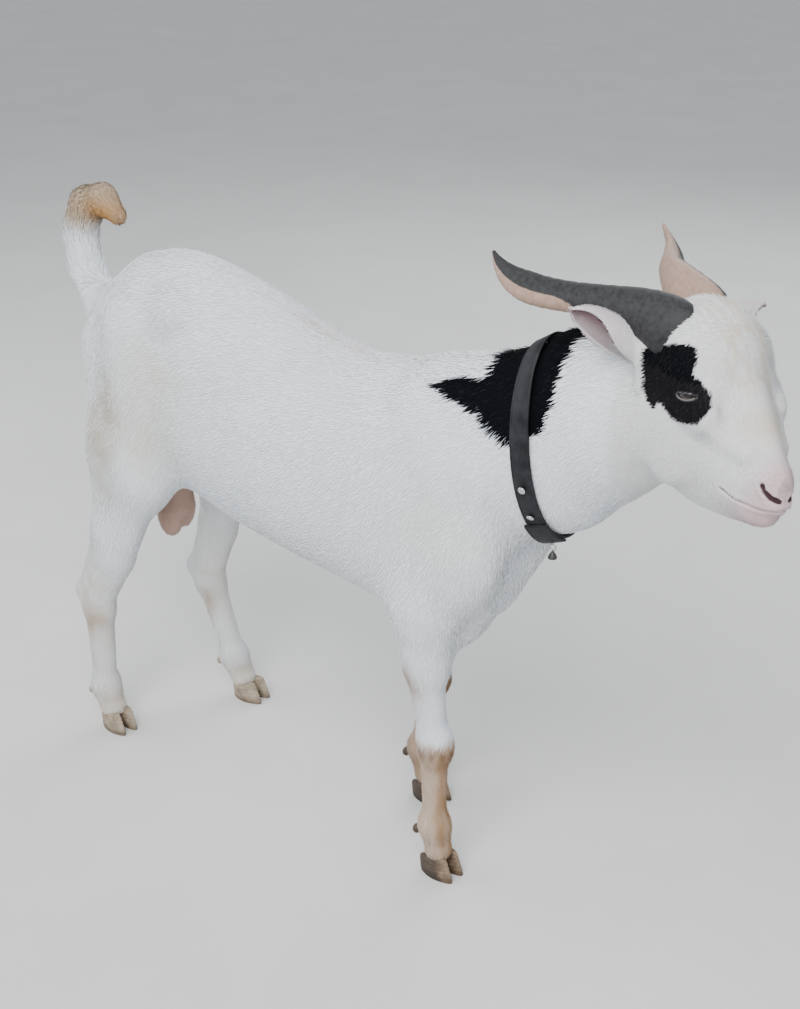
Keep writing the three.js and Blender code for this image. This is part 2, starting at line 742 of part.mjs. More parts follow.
const strapRoom = solid(
  band(0, 360, COLLAR.segments, COLLAR.width + 2 * GAP, COLLAR.clearance - GAP, COLLAR.thick + 3 * GAP),
);

// ---------------------------------------------------------------- trunk, neck, head, tail
let trunk = solid(polygonize(flesh, [-700, -170, 300], [200, 170, 800], CELL.trunk));
trunk = trunk.subtract(beyond(neckCut.point, neckCut.normal, -HALF_GAP));
trunk = trunk.subtract(
  beyond(tailCut.point, tailCut.normal, -HALF_GAP).intersect(block([-700, -90, 600], [-500, 90, 900])),
);
for (const name of Object.keys(LEGS)) trunk = trunk.subtract(legRegion(name, -HALF_GAP));
const SCROTUM_BOX = [[-540, -50, 290], [-420, 50, 500]];
const scrotumRoom = solid(polygonize(scrotumFlesh, ...SCROTUM_BOX, CELL.small, 4 * GAP));
trunk = trunk.subtract(scrotumRoom);
add("trunk", largest(trunk), "white_coat");

const neck = solid(polygonize(flesh, [40, -120, 420], [400, 110, 860], CELL.neck))
  .intersect(beyond(neckCut.point, neckCut.normal, HALF_GAP))
  .subtract(beyond(headCut.point, headCut.normal, -HALF_GAP))
  .subtract(strapRoom);
const headSolid = solid(polygonize(flesh, [250, -190, 590], [530, 90, 880], CELL.head))
  .intersect(beyond(headCut.point, headCut.normal, HALF_GAP));
const headGrown = solid(polygonize(flesh, [250, -190, 590], [530, 90, 880], CELL.head, 5 * GAP));
const neckGrown = solid(polygonize(flesh, [40, -120, 420], [400, 110, 860], CELL.neck, 5 * GAP));
const horns = [RIGHT, LEFT].map((side) => solid(hornShape(side), headMatrix));
const ears = [RIGHT, LEFT].map((side) => solid(earShape(side), headMatrix));
add("neck", largest(neck), "white_coat");
const head = eyes.reduce((s, e) => s.subtract(ball(e, EYE_RADIUS + 3 * GAP, 2)), headSolid);
add("head", largest(head), "white_coat");

const tail = solid(polygonize(flesh, [-690, -60, 605], [-510, 60, 860], CELL.tail)).intersect(
  beyond(tailCut.point, tailCut.normal, HALF_GAP),
);
add("tail", largest(tail), "tan_coat");
add("scrotum", solid(polygonize(scrotumFlesh, ...SCROTUM_BOX, CELL.small)), "skin");

[RIGHT, LEFT].forEach((side, i) => {
  const label = sideName(side);
  add(`horn_${label}`, largest(horns[i].subtract(headGrown).subtract(neckGrown)), "horn");
  const ear = ears[i].subtract(headGrown).subtract(neckGrown);
  add(`ear_${label}`, largest(ear.subtract(solid(hornShape(side, 2 * GAP), headMatrix))), "white_coat");
  add(`eye_${label}`, ball(eyes[i], EYE_RADIUS, 2), "eye");
});

// ---------------------------------------------------------------- legs and feet
for (const [name, leg] of Object.entries(LEGS)) {
  const fore = name.startsWith("fore");
  const joint = leg.hock || leg.knee;
  const xs = [leg.hoof[0], leg.fetlock[0], joint[0]];
  const [x0, x1] = PITS[fore ? "fore" : "hind"].x;
  const y0 = leg.side > 0 ? 0 : -170;
  const above = beyond([0, 0, joint[2]], [0, 0, 1], HALF_GAP);
  const below = beyond([0, 0, joint[2]], [0, 0, -1], HALF_GAP);
  const coronet = beyond([leg.hoof[0], 0, CORONET.height], [-CORONET.slope, 0, 1], HALF_GAP);
  const upper = solid(polygonize(flesh, [x0 - 30, y0 - 20, 150], [x1 + 30, y0 + 190, 620], CELL.upperLeg));
  const lower = solid(
    polygonize(flesh, [Math.min(...xs) - 60, y0, 10], [Math.max(...xs) + 50, y0 + 170, 260], CELL.lowerLeg),
  );
  add(
    `${name}_${fore ? "forearm" : "thigh"}`,
    largest(upper.intersect(legRegion(name, HALF_GAP)).intersect(above).subtract(scrotumRoom)),
    "white_coat",
  );
  const dewclaws = [RIGHT, LEFT].map((side) =>
    V(leg.fetlock).add(V(DEWCLAW.at[0], side * DEWCLAW.at[1], DEWCLAW.at[2])),
  );
  const stub = (centre, grow) => {
    const bead = new THREE.SphereGeometry(1, 6, 4);
    bead.scale(...DEWCLAW.size.map((v) => v + grow));
    return solid(bead, new THREE.Matrix4().makeRotationY(0.5).setPosition(centre));
  };
  const cannon = dewclaws.reduce((s, d) => s.subtract(stub(d, GAP)), lower.intersect(below));
  add(`${name}_cannon`, largest(cannon.intersect(coronet)), fore ? "tan_coat" : "white_coat");
  for (const side of [RIGHT, LEFT]) {
    const label = side === leg.side ? "outer" : "inner";
    add(`${name}_claw_${label}`, largest(solid(clawShape(leg, side)).subtract(coronetOf(leg))), "hoof");
    add(`${name}_dewclaw_${label}`, stub(dewclaws[side === RIGHT ? 0 : 1], 0), "hoof");
  }
}

// ---------------------------------------------------------------- collar
add(
  "collar_strap",
  solid(band(0, 360, COLLAR.segments, COLLAR.width, COLLAR.clearance, COLLAR.thick)),
  "strap",
);
const overStrap = COLLAR.clearance + COLLAR.thick + GAP;
add("collar_lap", solid(band(...COLLAR.lap, 6, COLLAR.width + 4, overStrap, COLLAR.thick)), "strap");
COLLAR.studs.forEach((turn, i) => {
  const { out, from, reach } = neckReach(THREE.MathUtils.degToRad(turn), 0);
  const profile = [
    [0, 0],
    [4.6, 0],
    [4.6, 0.8],
    [3.4, 2.2],
    [0, 2.9],
  ].map(([r, z]) => new THREE.Vector2(r, z));
  const place = new THREE.Matrix4().makeRotationFromQuaternion(
    new THREE.Quaternion().setFromUnitVectors(V(0, 1, 0), out),
  );
  place.setPosition(from.clone().addScaledVector(out, reach + overStrap + 1.8));
  add(`collar_stud_${i + 1}`, solid(new THREE.LatheGeometry(profile, 10), place), "steel");
});
const lowest = neckReach(THREE.MathUtils.degToRad(COLLAR.charm), 0);
const hang = lowest.from.clone().addScaledVector(lowest.out, lowest.reach + overStrap + COLLAR.thick + 1);
const ring = new THREE.TorusGeometry(CHARM.ring, CHARM.wire, 5, 10);
const ringDrop = CHARM.ring + CHARM.wire;
const ringPlace = new THREE.Matrix4().makeRotationX(Math.PI / 2);
ringPlace.setPosition(hang.x, hang.y, hang.z - ringDrop);
add("collar_ring", solid(ring, ringPlace), "steel");
const bell = CHARM.profile.map(([r, z]) => new THREE.Vector2(r, z));
const bellPlace = new THREE.Matrix4().makeRotationX(Math.PI / 2);
const bellTall = CHARM.profile[CHARM.profile.length - 1][1];
bellPlace.setPosition(hang.x, hang.y, hang.z - 2 * ringDrop - GAP - bellTall);
add("collar_bell", solid(new THREE.LatheGeometry(bell, 10), bellPlace), "charm");

// Set the animal down with the middle of its length and width over the origin.
const bounds = new THREE.Box3().setFromObject(goat);
goat.position.set(-(bounds.min.x + bounds.max.x) / 2, -(bounds.min.y + bounds.max.y) / 2, -bounds.min.z);

export default goat;
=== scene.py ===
"""A standing white billy goat: one skin, a short coat of tufts, horns, claws and a studded collar."""

import math

import bmesh
import bpy
import numpy as np
from mathutils import Matrix, Vector


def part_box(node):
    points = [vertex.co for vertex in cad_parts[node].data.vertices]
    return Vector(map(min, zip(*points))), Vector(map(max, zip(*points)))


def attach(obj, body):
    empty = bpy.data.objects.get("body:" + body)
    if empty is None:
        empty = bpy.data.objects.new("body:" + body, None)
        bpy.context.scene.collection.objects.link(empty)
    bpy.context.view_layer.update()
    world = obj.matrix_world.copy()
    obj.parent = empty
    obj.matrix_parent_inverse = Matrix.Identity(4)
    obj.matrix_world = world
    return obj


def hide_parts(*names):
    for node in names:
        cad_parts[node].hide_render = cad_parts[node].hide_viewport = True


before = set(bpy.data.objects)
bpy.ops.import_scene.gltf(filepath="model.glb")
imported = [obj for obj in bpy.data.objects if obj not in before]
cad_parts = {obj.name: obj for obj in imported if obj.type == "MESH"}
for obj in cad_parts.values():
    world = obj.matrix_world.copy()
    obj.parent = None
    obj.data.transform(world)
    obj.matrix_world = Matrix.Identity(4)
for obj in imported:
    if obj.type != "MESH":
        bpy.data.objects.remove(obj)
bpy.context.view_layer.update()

# ---------------------------------------------------- dimensions, in millimetres
# The flesh is the same field of bones and muscles as the solids', in the body's own axes:
# +X runs to the front, +Y to the animal's left, +Z up, and the hooves stand on z = 0.
RIGHT, LEFT = -1, 1
SIDE_NAME = {RIGHT: "right", LEFT: "left"}

# The trunk's outline along the mid plane: x, top, bottom, half width.
TRUNK = [
    (-560, 682, 560, 54),
    (-505, 730, 470, 80),
    (-440, 753, 425, 90),
    (-370, 752, 408, 96),
    (-280, 729, 392, 108),
    (-190, 697, 382, 114),
    (-100, 676, 370, 110),
    (-20, 676, 352, 97),
    (45, 684, 345, 80),
    (110, 690, 390, 62),
]
# Joint centres of the four legs, and the turn of each foot in degrees.
LEGS = {
    "fore_right": dict(
        side=RIGHT,
        elbow=(24, -66, 392),
        knee=(49, -66, 203),
        fetlock=(49, -65, 78),
        hoof=(57, -60, 0),
        toe=-4,
    ),
    "fore_left": dict(
        side=LEFT,
        elbow=(-30, 66, 392),
        knee=(-54, 65, 203),
        fetlock=(-72, 64, 78),
        hoof=(-54, 62, 0),
        toe=-5,
    ),
    "hind_right": dict(
        side=RIGHT,
        stifle=(-450, -82, 452),
        hock=(-569, -91, 214),
        fetlock=(-571, -93, 68),
        hoof=(-546, -94, 0),
        toe=-6,
    ),
    "hind_left": dict(
        side=LEFT,
        stifle=(-436, 82, 452),
        hock=(-521, 91, 197),
        fetlock=(-478, 93, 66),
        hoof=(-445, 95, 0),
        toe=4,
    ),
}
# The face below the brow, in the head's own axes: x, top, bottom, half width.
FACE = [
    (-190, 150, -27, 38),
    (-172, 161, -34, 45),
    (-148, 165, -39, 48),
    (-124, 155, -41, 48),
    (-100, 134, -39, 46),
    (-76, 107, -36, 41),
    (-56, 83, -32, 33),
    (-38, 62, -26, 25),
    (-24, 45, -16, 17),
    (-15, 33, -4, 10),
]
# The head's own axes start at the front of the lips, with +X along the mouth line and +Z to the crown.
HEAD_PLACE = (497, -88, 664)
HEAD_YAW, HEAD_PITCH, HEAD_ROLL = -22.0, -1.4, -4.6
EYE = (-113, 43.5, 88)
EYE_RADIUS = 14.5
EAR_ROOT = (-188, 48, 112)
HORN_ROOT = (-166, 30, 136)
HORN_PATH = {
    RIGHT: [(-151, 30, 129), (-246, 56, 172), (-325, 112, 104), (-376, 117, 168)],
    LEFT: [(-171, 27, 130), (-303, 20, 196), (-326, 127, 121), (-385, 119, 183)],
}
HORN_SECTION = [
    (0, 29, 22, 0),
    (0.05, 34, 25, -2),
    (0.12, 31, 24, -6),
    (0.28, 21.5, 17.5, -14),
    (0.45, 17.5, 14.5, -22),
    (0.6, 18, 11.5, -26),
    (0.75, 17.5, 9, -28),
    (0.88, 11.5, 6, -30),
    (1, 2, 1.6, -30),
]
EAR = dict(
    root=(-198, 44, 104),
    tip={RIGHT: (-220, 124, 149), LEFT: (-214, 131, 135)},
    open=(0.2, 0.6, -0.75),
    # place along the ear, radius, arc of the roll behind and before its back, bend, thickness
    section=[
        (0, 20, 150, 150, 0, 5),
        (0.3, 21, 145, 140, 0, 4.4),
        (0.5, 20, 140, 115, 0, 4),
        (0.68, 17.5, 132, 80, 0, 4),
        (0.85, 13, 115, 60, 1, 3.8),
        (1, 3.5, 80, 50, 2, 3.4),
    ],
)
NECK = [((70, 0, 592), 118), ((165, -2, 628), 104), ((238, -8, 680), 94), ((300, -12, 716), 76)]
NECK_FLAT = 0.62
TAIL = [
    ((-600, 0, 648), 25),
    ((-634, 2, 702), 25),
    ((-640, 4, 750), 25),
    ((-620, 5, 788), 24),
    ((-586, 5, 800), 21),
    ((-558, 5, 782), 14),
]
SCROTUM = (-478, 0, 408)
CORONET_HEIGHT, CORONET_SLOPE = 30, 0.22
HEAD_ABOVE = 560  # no part of the head or its ears is lower than this
HEAD_FROM = -260  # nor further back than this, in the head's own axes


# ---------------------------------------------------- fields: negative inside, in millimetres
def limb(a, ra, b, rb, flat=1.0):
    """A limb from a to b whose radius runs from ra to rb. flat is its sideways width over its depth."""
    ax, ay, az = a
    dx, dy, dz = (b[i] - a[i] for i in range(3))
    squared = dx * dx + dy * dy + dz * dz

    def field(x, y, z):
        t = np.clip(((x - ax) * dx + (y - ay) * dy + (z - az) * dz) / squared, 0, 1)
        side = (y - ay - dy * t) / flat
        return np.sqrt((x - ax - dx * t) ** 2 + side**2 + (z - az - dz * t) ** 2) - (ra + (rb - ra) * t)

    return field


def egg(c, r, tilt=0.0):
    """An ellipsoid with half sizes r, pitched about the sideways axis by tilt degrees."""
    co, si = math.cos(math.radians(tilt)), math.sin(math.radians(tilt))

    def field(x, y, z):
        u = ((x - c[0]) * co + (z - c[2]) * si) / r[0]
        v = (y - c[1]) / r[1]
        w = ((z - c[2]) * co - (x - c[0]) * si) / r[2]
        size = np.sqrt(u * u + v * v + w * w)
        return size * (size - 1) / (np.sqrt((u / r[0]) ** 2 + (v / r[1]) ** 2 + (w / r[2]) ** 2) + 1e-9)

    return field


def table_at(rows, at):
    """Smooth interpolation through a table's rows, by its first column."""
    rows = np.array(rows, float)
    xs = rows[:, 0]
    last = len(rows) - 1
    low, high = np.maximum(np.arange(last + 1) - 1, 0), np.minimum(np.arange(last + 1) + 1, last)
    slope = (rows[high] - rows[low]) / (xs[high] - xs[low])[:, None]
    at = np.clip(at, xs[0], xs[-1])
    i = np.clip(np.searchsorted(xs, at, side="left") - 1, 0, last - 1)
    span = xs[i + 1] - xs[i]
    t = (at - xs[i]) / span
    a, b = 2 * t**3 - 3 * t**2 + 1, (t**3 - 2 * t**2 + t) * span
    c, d = 3 * t**2 - 2 * t**3, (t**3 - t**2) * span
    return [
        a * rows[i, k] + b * slope[i, k] + c * rows[i + 1, k] + d * slope[i + 1, k]
        for k in range(1, rows.shape[1])
    ]


def barrel(rows, profile):
    """An upright oval section at each x, narrowed by its height."""
    low, high = rows[0][0], rows[-1][0]

    def field(x, y, z):
        top, bottom, half = table_at(rows, x)
        h = (top - bottom) / 2
        v = (z - (top + bottom) / 2) / h
        w = half * profile(np.clip(v, -1, 1))
        size = np.sqrt((y / w) ** 2 + v * v)
        d = size * (size - 1) / (np.sqrt((y / (w * w)) ** 2 + (v / h) ** 2) + 1e-6)
        past = np.maximum(np.maximum(low - x, x - high), 0)
        return np.where(past > 0, np.sqrt(np.maximum(d, 0) ** 2 + past**2), d)

    return field


def soft(a, b, k):
    """The union of two fields, rounded over a width k where they meet."""
    h = np.maximum(k - np.abs(a - b), 0) / k
    return np.minimum(a, b) - h * h * k / 4


def join(k, *shapes):
    """One field of many shapes, each rounded into the rest over a width k."""

    def field(x, y, z):
        d = shapes[0](x, y, z)
        for shape in shapes[1:]:
            d = soft(d, shape(x, y, z), k)
        return d

    return field


# ---------------------------------------------------- the flesh
def mix(a, b, t):
    """The place a share t of the way from a to b."""
    return tuple(a[i] + (b[i] - a[i]) * t for i in range(3))


def fore_leg(side, elbow, knee, fetlock, hoof, toe):
    """A foreleg from the shoulder blade to the coronet. The claws alone take the foot's turn."""
    coronet = mix(fetlock, hoof, 0.52)
    shoulder = (86, side * 56, 480)
    return join(
        14,
        join(
            34,
            limb((10, side * 38, 640), 30, shoulder, 40, 0.62),  # shoulder blade
            limb(shoulder, 40, elbow, 36, 0.72),  # upper arm
            limb((6, side * 50, 500), 32, (elbow[0] + 6, elbow[1], elbow[2] + 10), 25, 0.74),  # triceps
            limb((elbow[0] + 14, elbow[1], elbow[2]), 35, mix(elbow, knee, 0.42), 29, 0.76),  # its muscle
        ),
        limb(mix(elbow, knee, 0.35), 27, knee, 20, 0.82),
        egg((elbow[0] - 16, elbow[1], elbow[2] - 10), (12, 11, 15)),  # point of the elbow
        egg((knee[0] + 3, knee[1], knee[2]), (25, 21.5, 30)),
        limb(mix(knee, fetlock, 0.15), 19, mix(knee, fetlock, 0.8), 16.5, 0.86),
        egg(fetlock, (21, 19, 22)),
        limb(fetlock, 18, coronet, 18.5, 1),
    )


def hind_leg(side, stifle, hock, fetlock, hoof, toe):
    """A hind leg from the hip to the coronet. The claws alone take the foot's turn."""
    coronet = mix(fetlock, hoof, 0.5)
    heel = (hock[0] - 30, hock[1], hock[2] + 8)  # point of the hock
    pin = (-545, side * 46, 612)  # seat bone
    ham = (stifle[0] - 59, stifle[1] - side * 4, 475)
    shank = mix(stifle, hock, 0.62)
    calf = (hock[0] + 42, hock[1], 350)
    return join(
        14,
        join(
            46,
            limb((-462, side * 50, 650), 60, stifle, 46, 0.76),  # thigh
            limb(pin, 38, ham, 43, 0.74),  # hamstrings
            limb(stifle, 37, shank, 31, 0.72),  # gaskin
            limb(ham, 36, calf, 25, 0.72),
        ),
        limb(shank, 33, hock, 24, 0.72),
        limb(calf, 24, heel, 12, 0.72),  # the tendon behind the gaskin
        egg((hock[0], hock[1], hock[2] - 4), (28, 21, 31)),
        egg(heel, (13, 12, 15)),
        limb(mix(hock, fetlock, 0.12), 24, mix(hock, fetlock, 0.85), 20, 0.82),
        egg(fetlock, (23, 20, 23)),
        limb(fetlock, 20, coronet, 20, 1),
    )


def chain(k, joints, flat):
    """Limbs from joint to joint, each a place and a radius."""
    return join(k, *(limb(a, ra, b, rb, flat) for (a, ra), (b, rb) in zip(joints, joints[1:])))


hips = join(
    30,
    egg((-385, -56, 690), (34, 24, 26)),  # hip bones
    egg((-385, 56, 690), (34, 24, 26)),
    limb((-490, 0, 690), 40, (-585, 0, 644), 30, 0.95),  # root of the tail
)
chest = join(
    40,
    egg((44, 0, 472), (72, 62, 110), -14),  # breast
    egg((40, 0, 366), (36, 40, 32), -30),  # tip of the breastbone
    limb((34, -14, 352), 26, (35, -54, 323), 21),  # its muscles to the forearms
    limb((14, 14, 354), 26, (-20, 54, 326), 21),
    limb((80, 0, 672), 28, (-60, 0, 640), 36, 0.8),  # withers
    limb((98, -36, 524), 29, (80, -50, 440), 30),  # points of the shoulders
    limb((98, 36, 524), 29, (80, 50, 440), 30),
)
scrotum = join(
    10,
    limb((SCROTUM[0] + 4, 0, SCROTUM[2] + 44), 28, SCROTUM, 25),
    limb(SCROTUM, 24, (SCROTUM[0] - 2, 0, SCROTUM[2] - 40), 27),
    egg((SCROTUM[0] - 4, -12, SCROTUM[2] - 56), (22, 17, 34)),
    egg((SCROTUM[0] - 4, 12, SCROTUM[2] - 52), (22, 17, 32)),
)
BOTH = (RIGHT, LEFT)
brow_and_jaw = join(
    22,
    barrel(FACE, lambda v: 1 - np.where(v > 0, 0.12, 0.2) * v * v),
    egg((-154, 0, 108), (58, 50, 58), -16),  # braincase
    egg((-134, 0, 118), (42, 57, 38), -34),  # forehead
    *(egg((-146, s * 33, 24), (36, 13, 42)) for s in BOTH),  # masseters
    *(limb((EYE[0] - 18, s * 38, 106), 10, (EYE[0] + 12, s * 36, 94), 8) for s in BOTH),  # brows
)
head_shape = join(
    12,
    brow_and_jaw,
    *(egg((EYE[0] + 10, s * 43, EYE[2] - 13), (28, 13, 20)) for s in BOTH),  # eye sockets
    *(limb((EYE[0] + 22, s * 36.5, 64), 13, (EYE[0] + 62, s * 22, 47), 7) for s in BOTH),  # cheekbones
    egg((-31, 0, 23), (17, 18, 18)),  # nose
    egg((-28, 0, 3), (18, 18, 11)),  # upper lip
    egg((-42, 0, -14), (21, 15, 12), -8),  # chin
    *(egg((EAR_ROOT[0] + 6, s * (EAR_ROOT[1] - 6), EAR_ROOT[2] - 4), (20, 17, 24)) for s in BOTH),
    *(egg((HORN_ROOT[0], s * HORN_ROOT[1], HORN_ROOT[2]), (27, 21, 24)) for s in BOTH),
)

HEAD = (
    Matrix.Translation(HEAD_PLACE)
    @ Matrix.Rotation(math.radians(HEAD_YAW), 4, "Z")
    @ Matrix.Rotation(math.radians(-HEAD_PITCH), 4, "Y")
    @ Matrix.Rotation(math.radians(HEAD_ROLL), 4, "X")
)
HEAD_TURN = np.array(HEAD.to_3x3())
HEAD_AT = np.array(HEAD.translation)


def to_head(p):
    """Points of the body's axes, one a row, in the head's own axes."""
    return (p - HEAD_AT) @ HEAD_TURN


def from_head(p):
    """Points of the head's own axes, one a row, in the body's."""
    return np.asarray(p, float) @ HEAD_TURN.T + HEAD_AT


def in_head(shape):
    """A field of the head's own axes, read in the body's."""
    (a, b, c), (d, e, f), (g, h, i) = HEAD_TURN
    hx, hy, hz = HEAD_AT

    def field(x, y, z):
        x, y, z = x - hx, y - hy, z - hz
        return shape(a * x + d * y + g * z, b * x + e * y + h * z, c * x + f * y + i * z)

    return field


def narrowing(v):
    """The trunk's width at each height, from -1 at the belly to 1 at the back."""
    return 1 - 0.16 * v


legs = [(fore_leg if "knee" in leg else hind_leg)(**leg) for leg in LEGS.values()]
flesh = join(
    26,
    join(30, barrel(TRUNK, narrowing), chest, *legs),
    hips,
    chain(12, TAIL, 0.9),
    join(30, chain(22, NECK, NECK_FLAT), in_head(head_shape)),
)


# ---------------------------------------------------- the skin's own details, in the head's axes
LID = dict(out=(0.30, 0.93, 0.10), tilt=11, half=11.5, upper=2.0, lower=3.2, cover=1.4, thick=1.5)
NOSTRIL = [(-24.5, 20, 22.5), (-22, 19, 18), (-15.5, 14, 12.5), (-9, 6, 9.5)]
MOUTH = [(-66, 32, 6), (-52, 24, -1), (-31, 20, -3), (-15, 12.5, -2.5), (-9, 0, -1.5)]


def unit(v):
    v = np.asarray(v, float)
    return v / np.linalg.norm(v, axis=-1, keepdims=True)


def eye_axes(side):
    """The eye's centre, its outward axis, the line of its lids to the nose, and up across them."""
    out = unit((LID["out"][0], side * LID["out"][1], LID["out"][2]))
    tilt = math.radians(LID["tilt"])
    along = np.array((math.cos(tilt), 0, math.sin(tilt)))
    along = unit(along - out * (along @ out))
    up = np.cross(along, out) * side
    return np.array((EYE[0], side * EYE[1], EYE[2]), float), out, along, up


def to_curve(points, x, y, z):
    """Distance to a chain of straight lines, and how far along it the nearest place is, from 0 to 1."""
    near = np.full(x.shape, 1e9)
    at = np.zeros(x.shape)
    for i, (a, b) in enumerate(zip(points, points[1:])):
        a, d = np.array(a, float), np.subtract(b, a).astype(float)
        t = np.clip(sum((q - a[k]) * d[k] for k, q in enumerate((x, y, z))) / (d @ d), 0, 1)
        far = np.sqrt(sum((q - a[k] - d[k] * t) ** 2 for k, q in enumerate((x, y, z))))
        at = np.where(far < near, (i + t) / (len(points) - 1), at)
        near = np.minimum(far, near)
    return near, at


def lids(side):
    """Adds the eye's bulge and the lids' rims to a field, and sinks the opening below the eyeball."""
    centre, out, along, up = eye_axes(side)

    def change(d, x, y, z):
        qx, qy, qz = x - centre[0], y - centre[1], z - centre[2]
        u = qx * along[0] + qy * along[1] + qz * along[2]
        v = qx * up[0] + qy * up[1] + qz * up[2]
        o = qx * out[0] + qy * out[1] + qz * out[2]
        r = np.sqrt(qx * qx + qy * qy + qz * qz)
        arc = 1 - np.clip(np.abs(u) / LID["half"], 0, 1.6) ** 2
        gap = np.maximum(v - LID["upper"] * arc, -v - LID["lower"] * arc)
        near = (o > 0) & (r < 38)
        cover = r - EYE_RADIUS - LID["cover"]
        rim = np.sqrt((gap - 0.6) ** 2 + (cover + 0.4) ** 2) - LID["thick"]
        level = np.exp(-((u / 13) ** 4)) * (np.abs(cover) < 6)
        fold = np.exp(-(((gap - 5.2) / 1.1) ** 2)) * (v > 0) * level
        bag = np.exp(-(((gap - 6) / 1.4) ** 2)) * (v < 0) * level
        e = soft(soft(d, cover, 6), rim, 2.2) + 1.0 * fold + 0.5 * bag
        tear = np.hypot(u - LID["half"] - 1.2, (v + 1.4) * 1.6) - 1.3
        opening = np.maximum(np.minimum(gap, tear), EYE_RADIUS - 2 - r)
        e = -soft(-e, opening, 0.8)
        return np.where(near, e, d)

    return change


def ear_axes(side):
    """The ear's root, its lengthwise line, the way it opens, the line across it, and its length."""
    root = np.array((EAR["root"][0], side * EAR["root"][1], EAR["root"][2]), float)
    tip = np.array(EAR["tip"][side], float) * (1, side, 1)
    length = float(np.linalg.norm(tip - root))
    along = (tip - root) / length
    opened = np.array((EAR["open"][0], side * EAR["open"][1], EAR["open"][2]), float)
    opened = unit(opened - along * (opened @ along))
    return root, along, opened, np.cross(along, opened) * side, length


def ear_place(side, x, y, z):
    """Where a place is in the ear: along it, round it from the back of the roll, and out from its middle."""
    root, along, opened, across, length = ear_axes(side)
    qx, qy, qz = x - root[0], y - root[1], z - root[2]
    s = (qx * along[0] + qy * along[1] + qz * along[2]) / length
    radius, behind, before, bend, thick = table_at(EAR["section"], np.clip(s, 0, 1))
    o = qx * opened[0] + qy * opened[1] + qz * opened[2] - bend
    a = (qx * across[0] + qy * across[1] + qz * across[2]) / 0.86
    return s, np.arctan2(a, -o), np.hypot(a, o), radius, np.radians(np.where(a > 0, behind, before)), thick


def ear(side, spare=0.0):
    """The ear's sheet, thicker by spare so that a coarse grid can't miss it."""
    length = ear_axes(side)[4]

    def field(x, y, z):
        s, turn, r, radius, wrap, thick = ear_place(side, x, y, z)
        folds = 0.5 * np.cos(turn * 5) * (r < radius - thick / 2)
        sheet = np.abs(r - radius + thick / 2) - thick / 2 - folds * 0.5 - spare
        edge = (np.abs(turn) - wrap) * np.maximum(r, 2)
        ends = np.maximum(s - 1, -s) * length
        return np.maximum(np.maximum(soft(-sheet, -edge, 1.5) * -1, edge), ends)

    return field


def details(d, x, y, z):
    """The face's folds, on a field of the head's axes."""
    ay = np.abs(y)
    away, at = to_curve(NOSTRIL, x, ay, z)
    d = d + 7.5 * np.exp(-((away / np.interp(at, (0, 0.3, 1), (2.5, 2.0, 1.1))) ** 2))
    wing = np.exp(-(((away - 5) / 2.4) ** 2)) * (z > 10)
    d = d - 0.8 * wing
    away, at = to_curve(MOUTH, x, ay, z)
    d = d + np.interp(at, (0, 0.1, 0.5, 1), (1.4, 2.4, 1.6, 1.1)) * np.exp(-((away / 1.6) ** 2))
    lip = np.exp(-(((away - 4) / 2.2) ** 2))
    d = d - 0.5 * lip
    away, _ = to_curve([(-9, 0, 0), (-6, 0, 14)], x, ay, z)
    d = d + 1.0 * np.exp(-((away / 1.0) ** 2))  # the groove between the nostrils
    for side in BOTH:
        d = lids(side)(d, x, y, z)
    ridge = limb((-183, 51, 116), 9, (-186, 47, 70), 7)(x, ay, z)  # from the ear's front edge down the cheek
    d = soft(d, ridge, 5)
    hollow = np.exp(-(((x + 202) / 7) ** 2) - ((z - 90) / 24) ** 2) * (ay > 30)
    return d + 3.0 * hollow


ears = join(1, ear(RIGHT), ear(LEFT))
thick_ears = join(1, ear(RIGHT, 1.2), ear(LEFT, 1.2))


def coronet_above(leg, x, z):
    """How far a place is below the foot's coronet, less the strip of skin hidden by the claws' walls."""
    return (CORONET_HEIGHT - 5 + CORONET_SLOPE * (x - leg["hoof"][0])) - z


def coat_depth(x, y, z):
    """How far the skin lies inside the coat."""
    h = to_head(np.stack([x, y, z], -1))
    on_head = np.clip((h[..., 0] + 215) / 40, 0, 1) * (z > HEAD_ABOVE)
    low = np.clip((330 - z) / 120, 0, 1)
    return 1.4 - 0.6 * on_head - 0.4 * low


def skin_field(x, y, z, ear_sheets=ears):
    d = flesh(x, y, z)
    d = soft(d, scrotum(x, y, z), 8) + coat_depth(x, y, z)
    for leg in LEGS.values():
        foot = (np.hypot(x - leg["hoof"][0], y - leg["hoof"][1]) < 60) & (z < 60)
        d = np.where(foot, np.maximum(d, coronet_above(leg, x, z)), d)
    near = (x > 205) & (z > HEAD_ABOVE)
    if near.any():
        h = to_head(np.stack([x[near], y[near], z[near]], -1))
        e = soft(d[near], ear_sheets(*h.T) + 0.3, 7)
        d = d.copy()
        d[near] = details(e, *h.T)
    return d


def skin_for_grid(x, y, z):
    return skin_field(x, y, z, thick_ears)


# ---------------------------------------------------- meshing
BATCH = 400_000  # points worked out at once
EDGES = [(n, n | bit) for n in range(8) for bit in (1, 2, 4) if not n & bit]


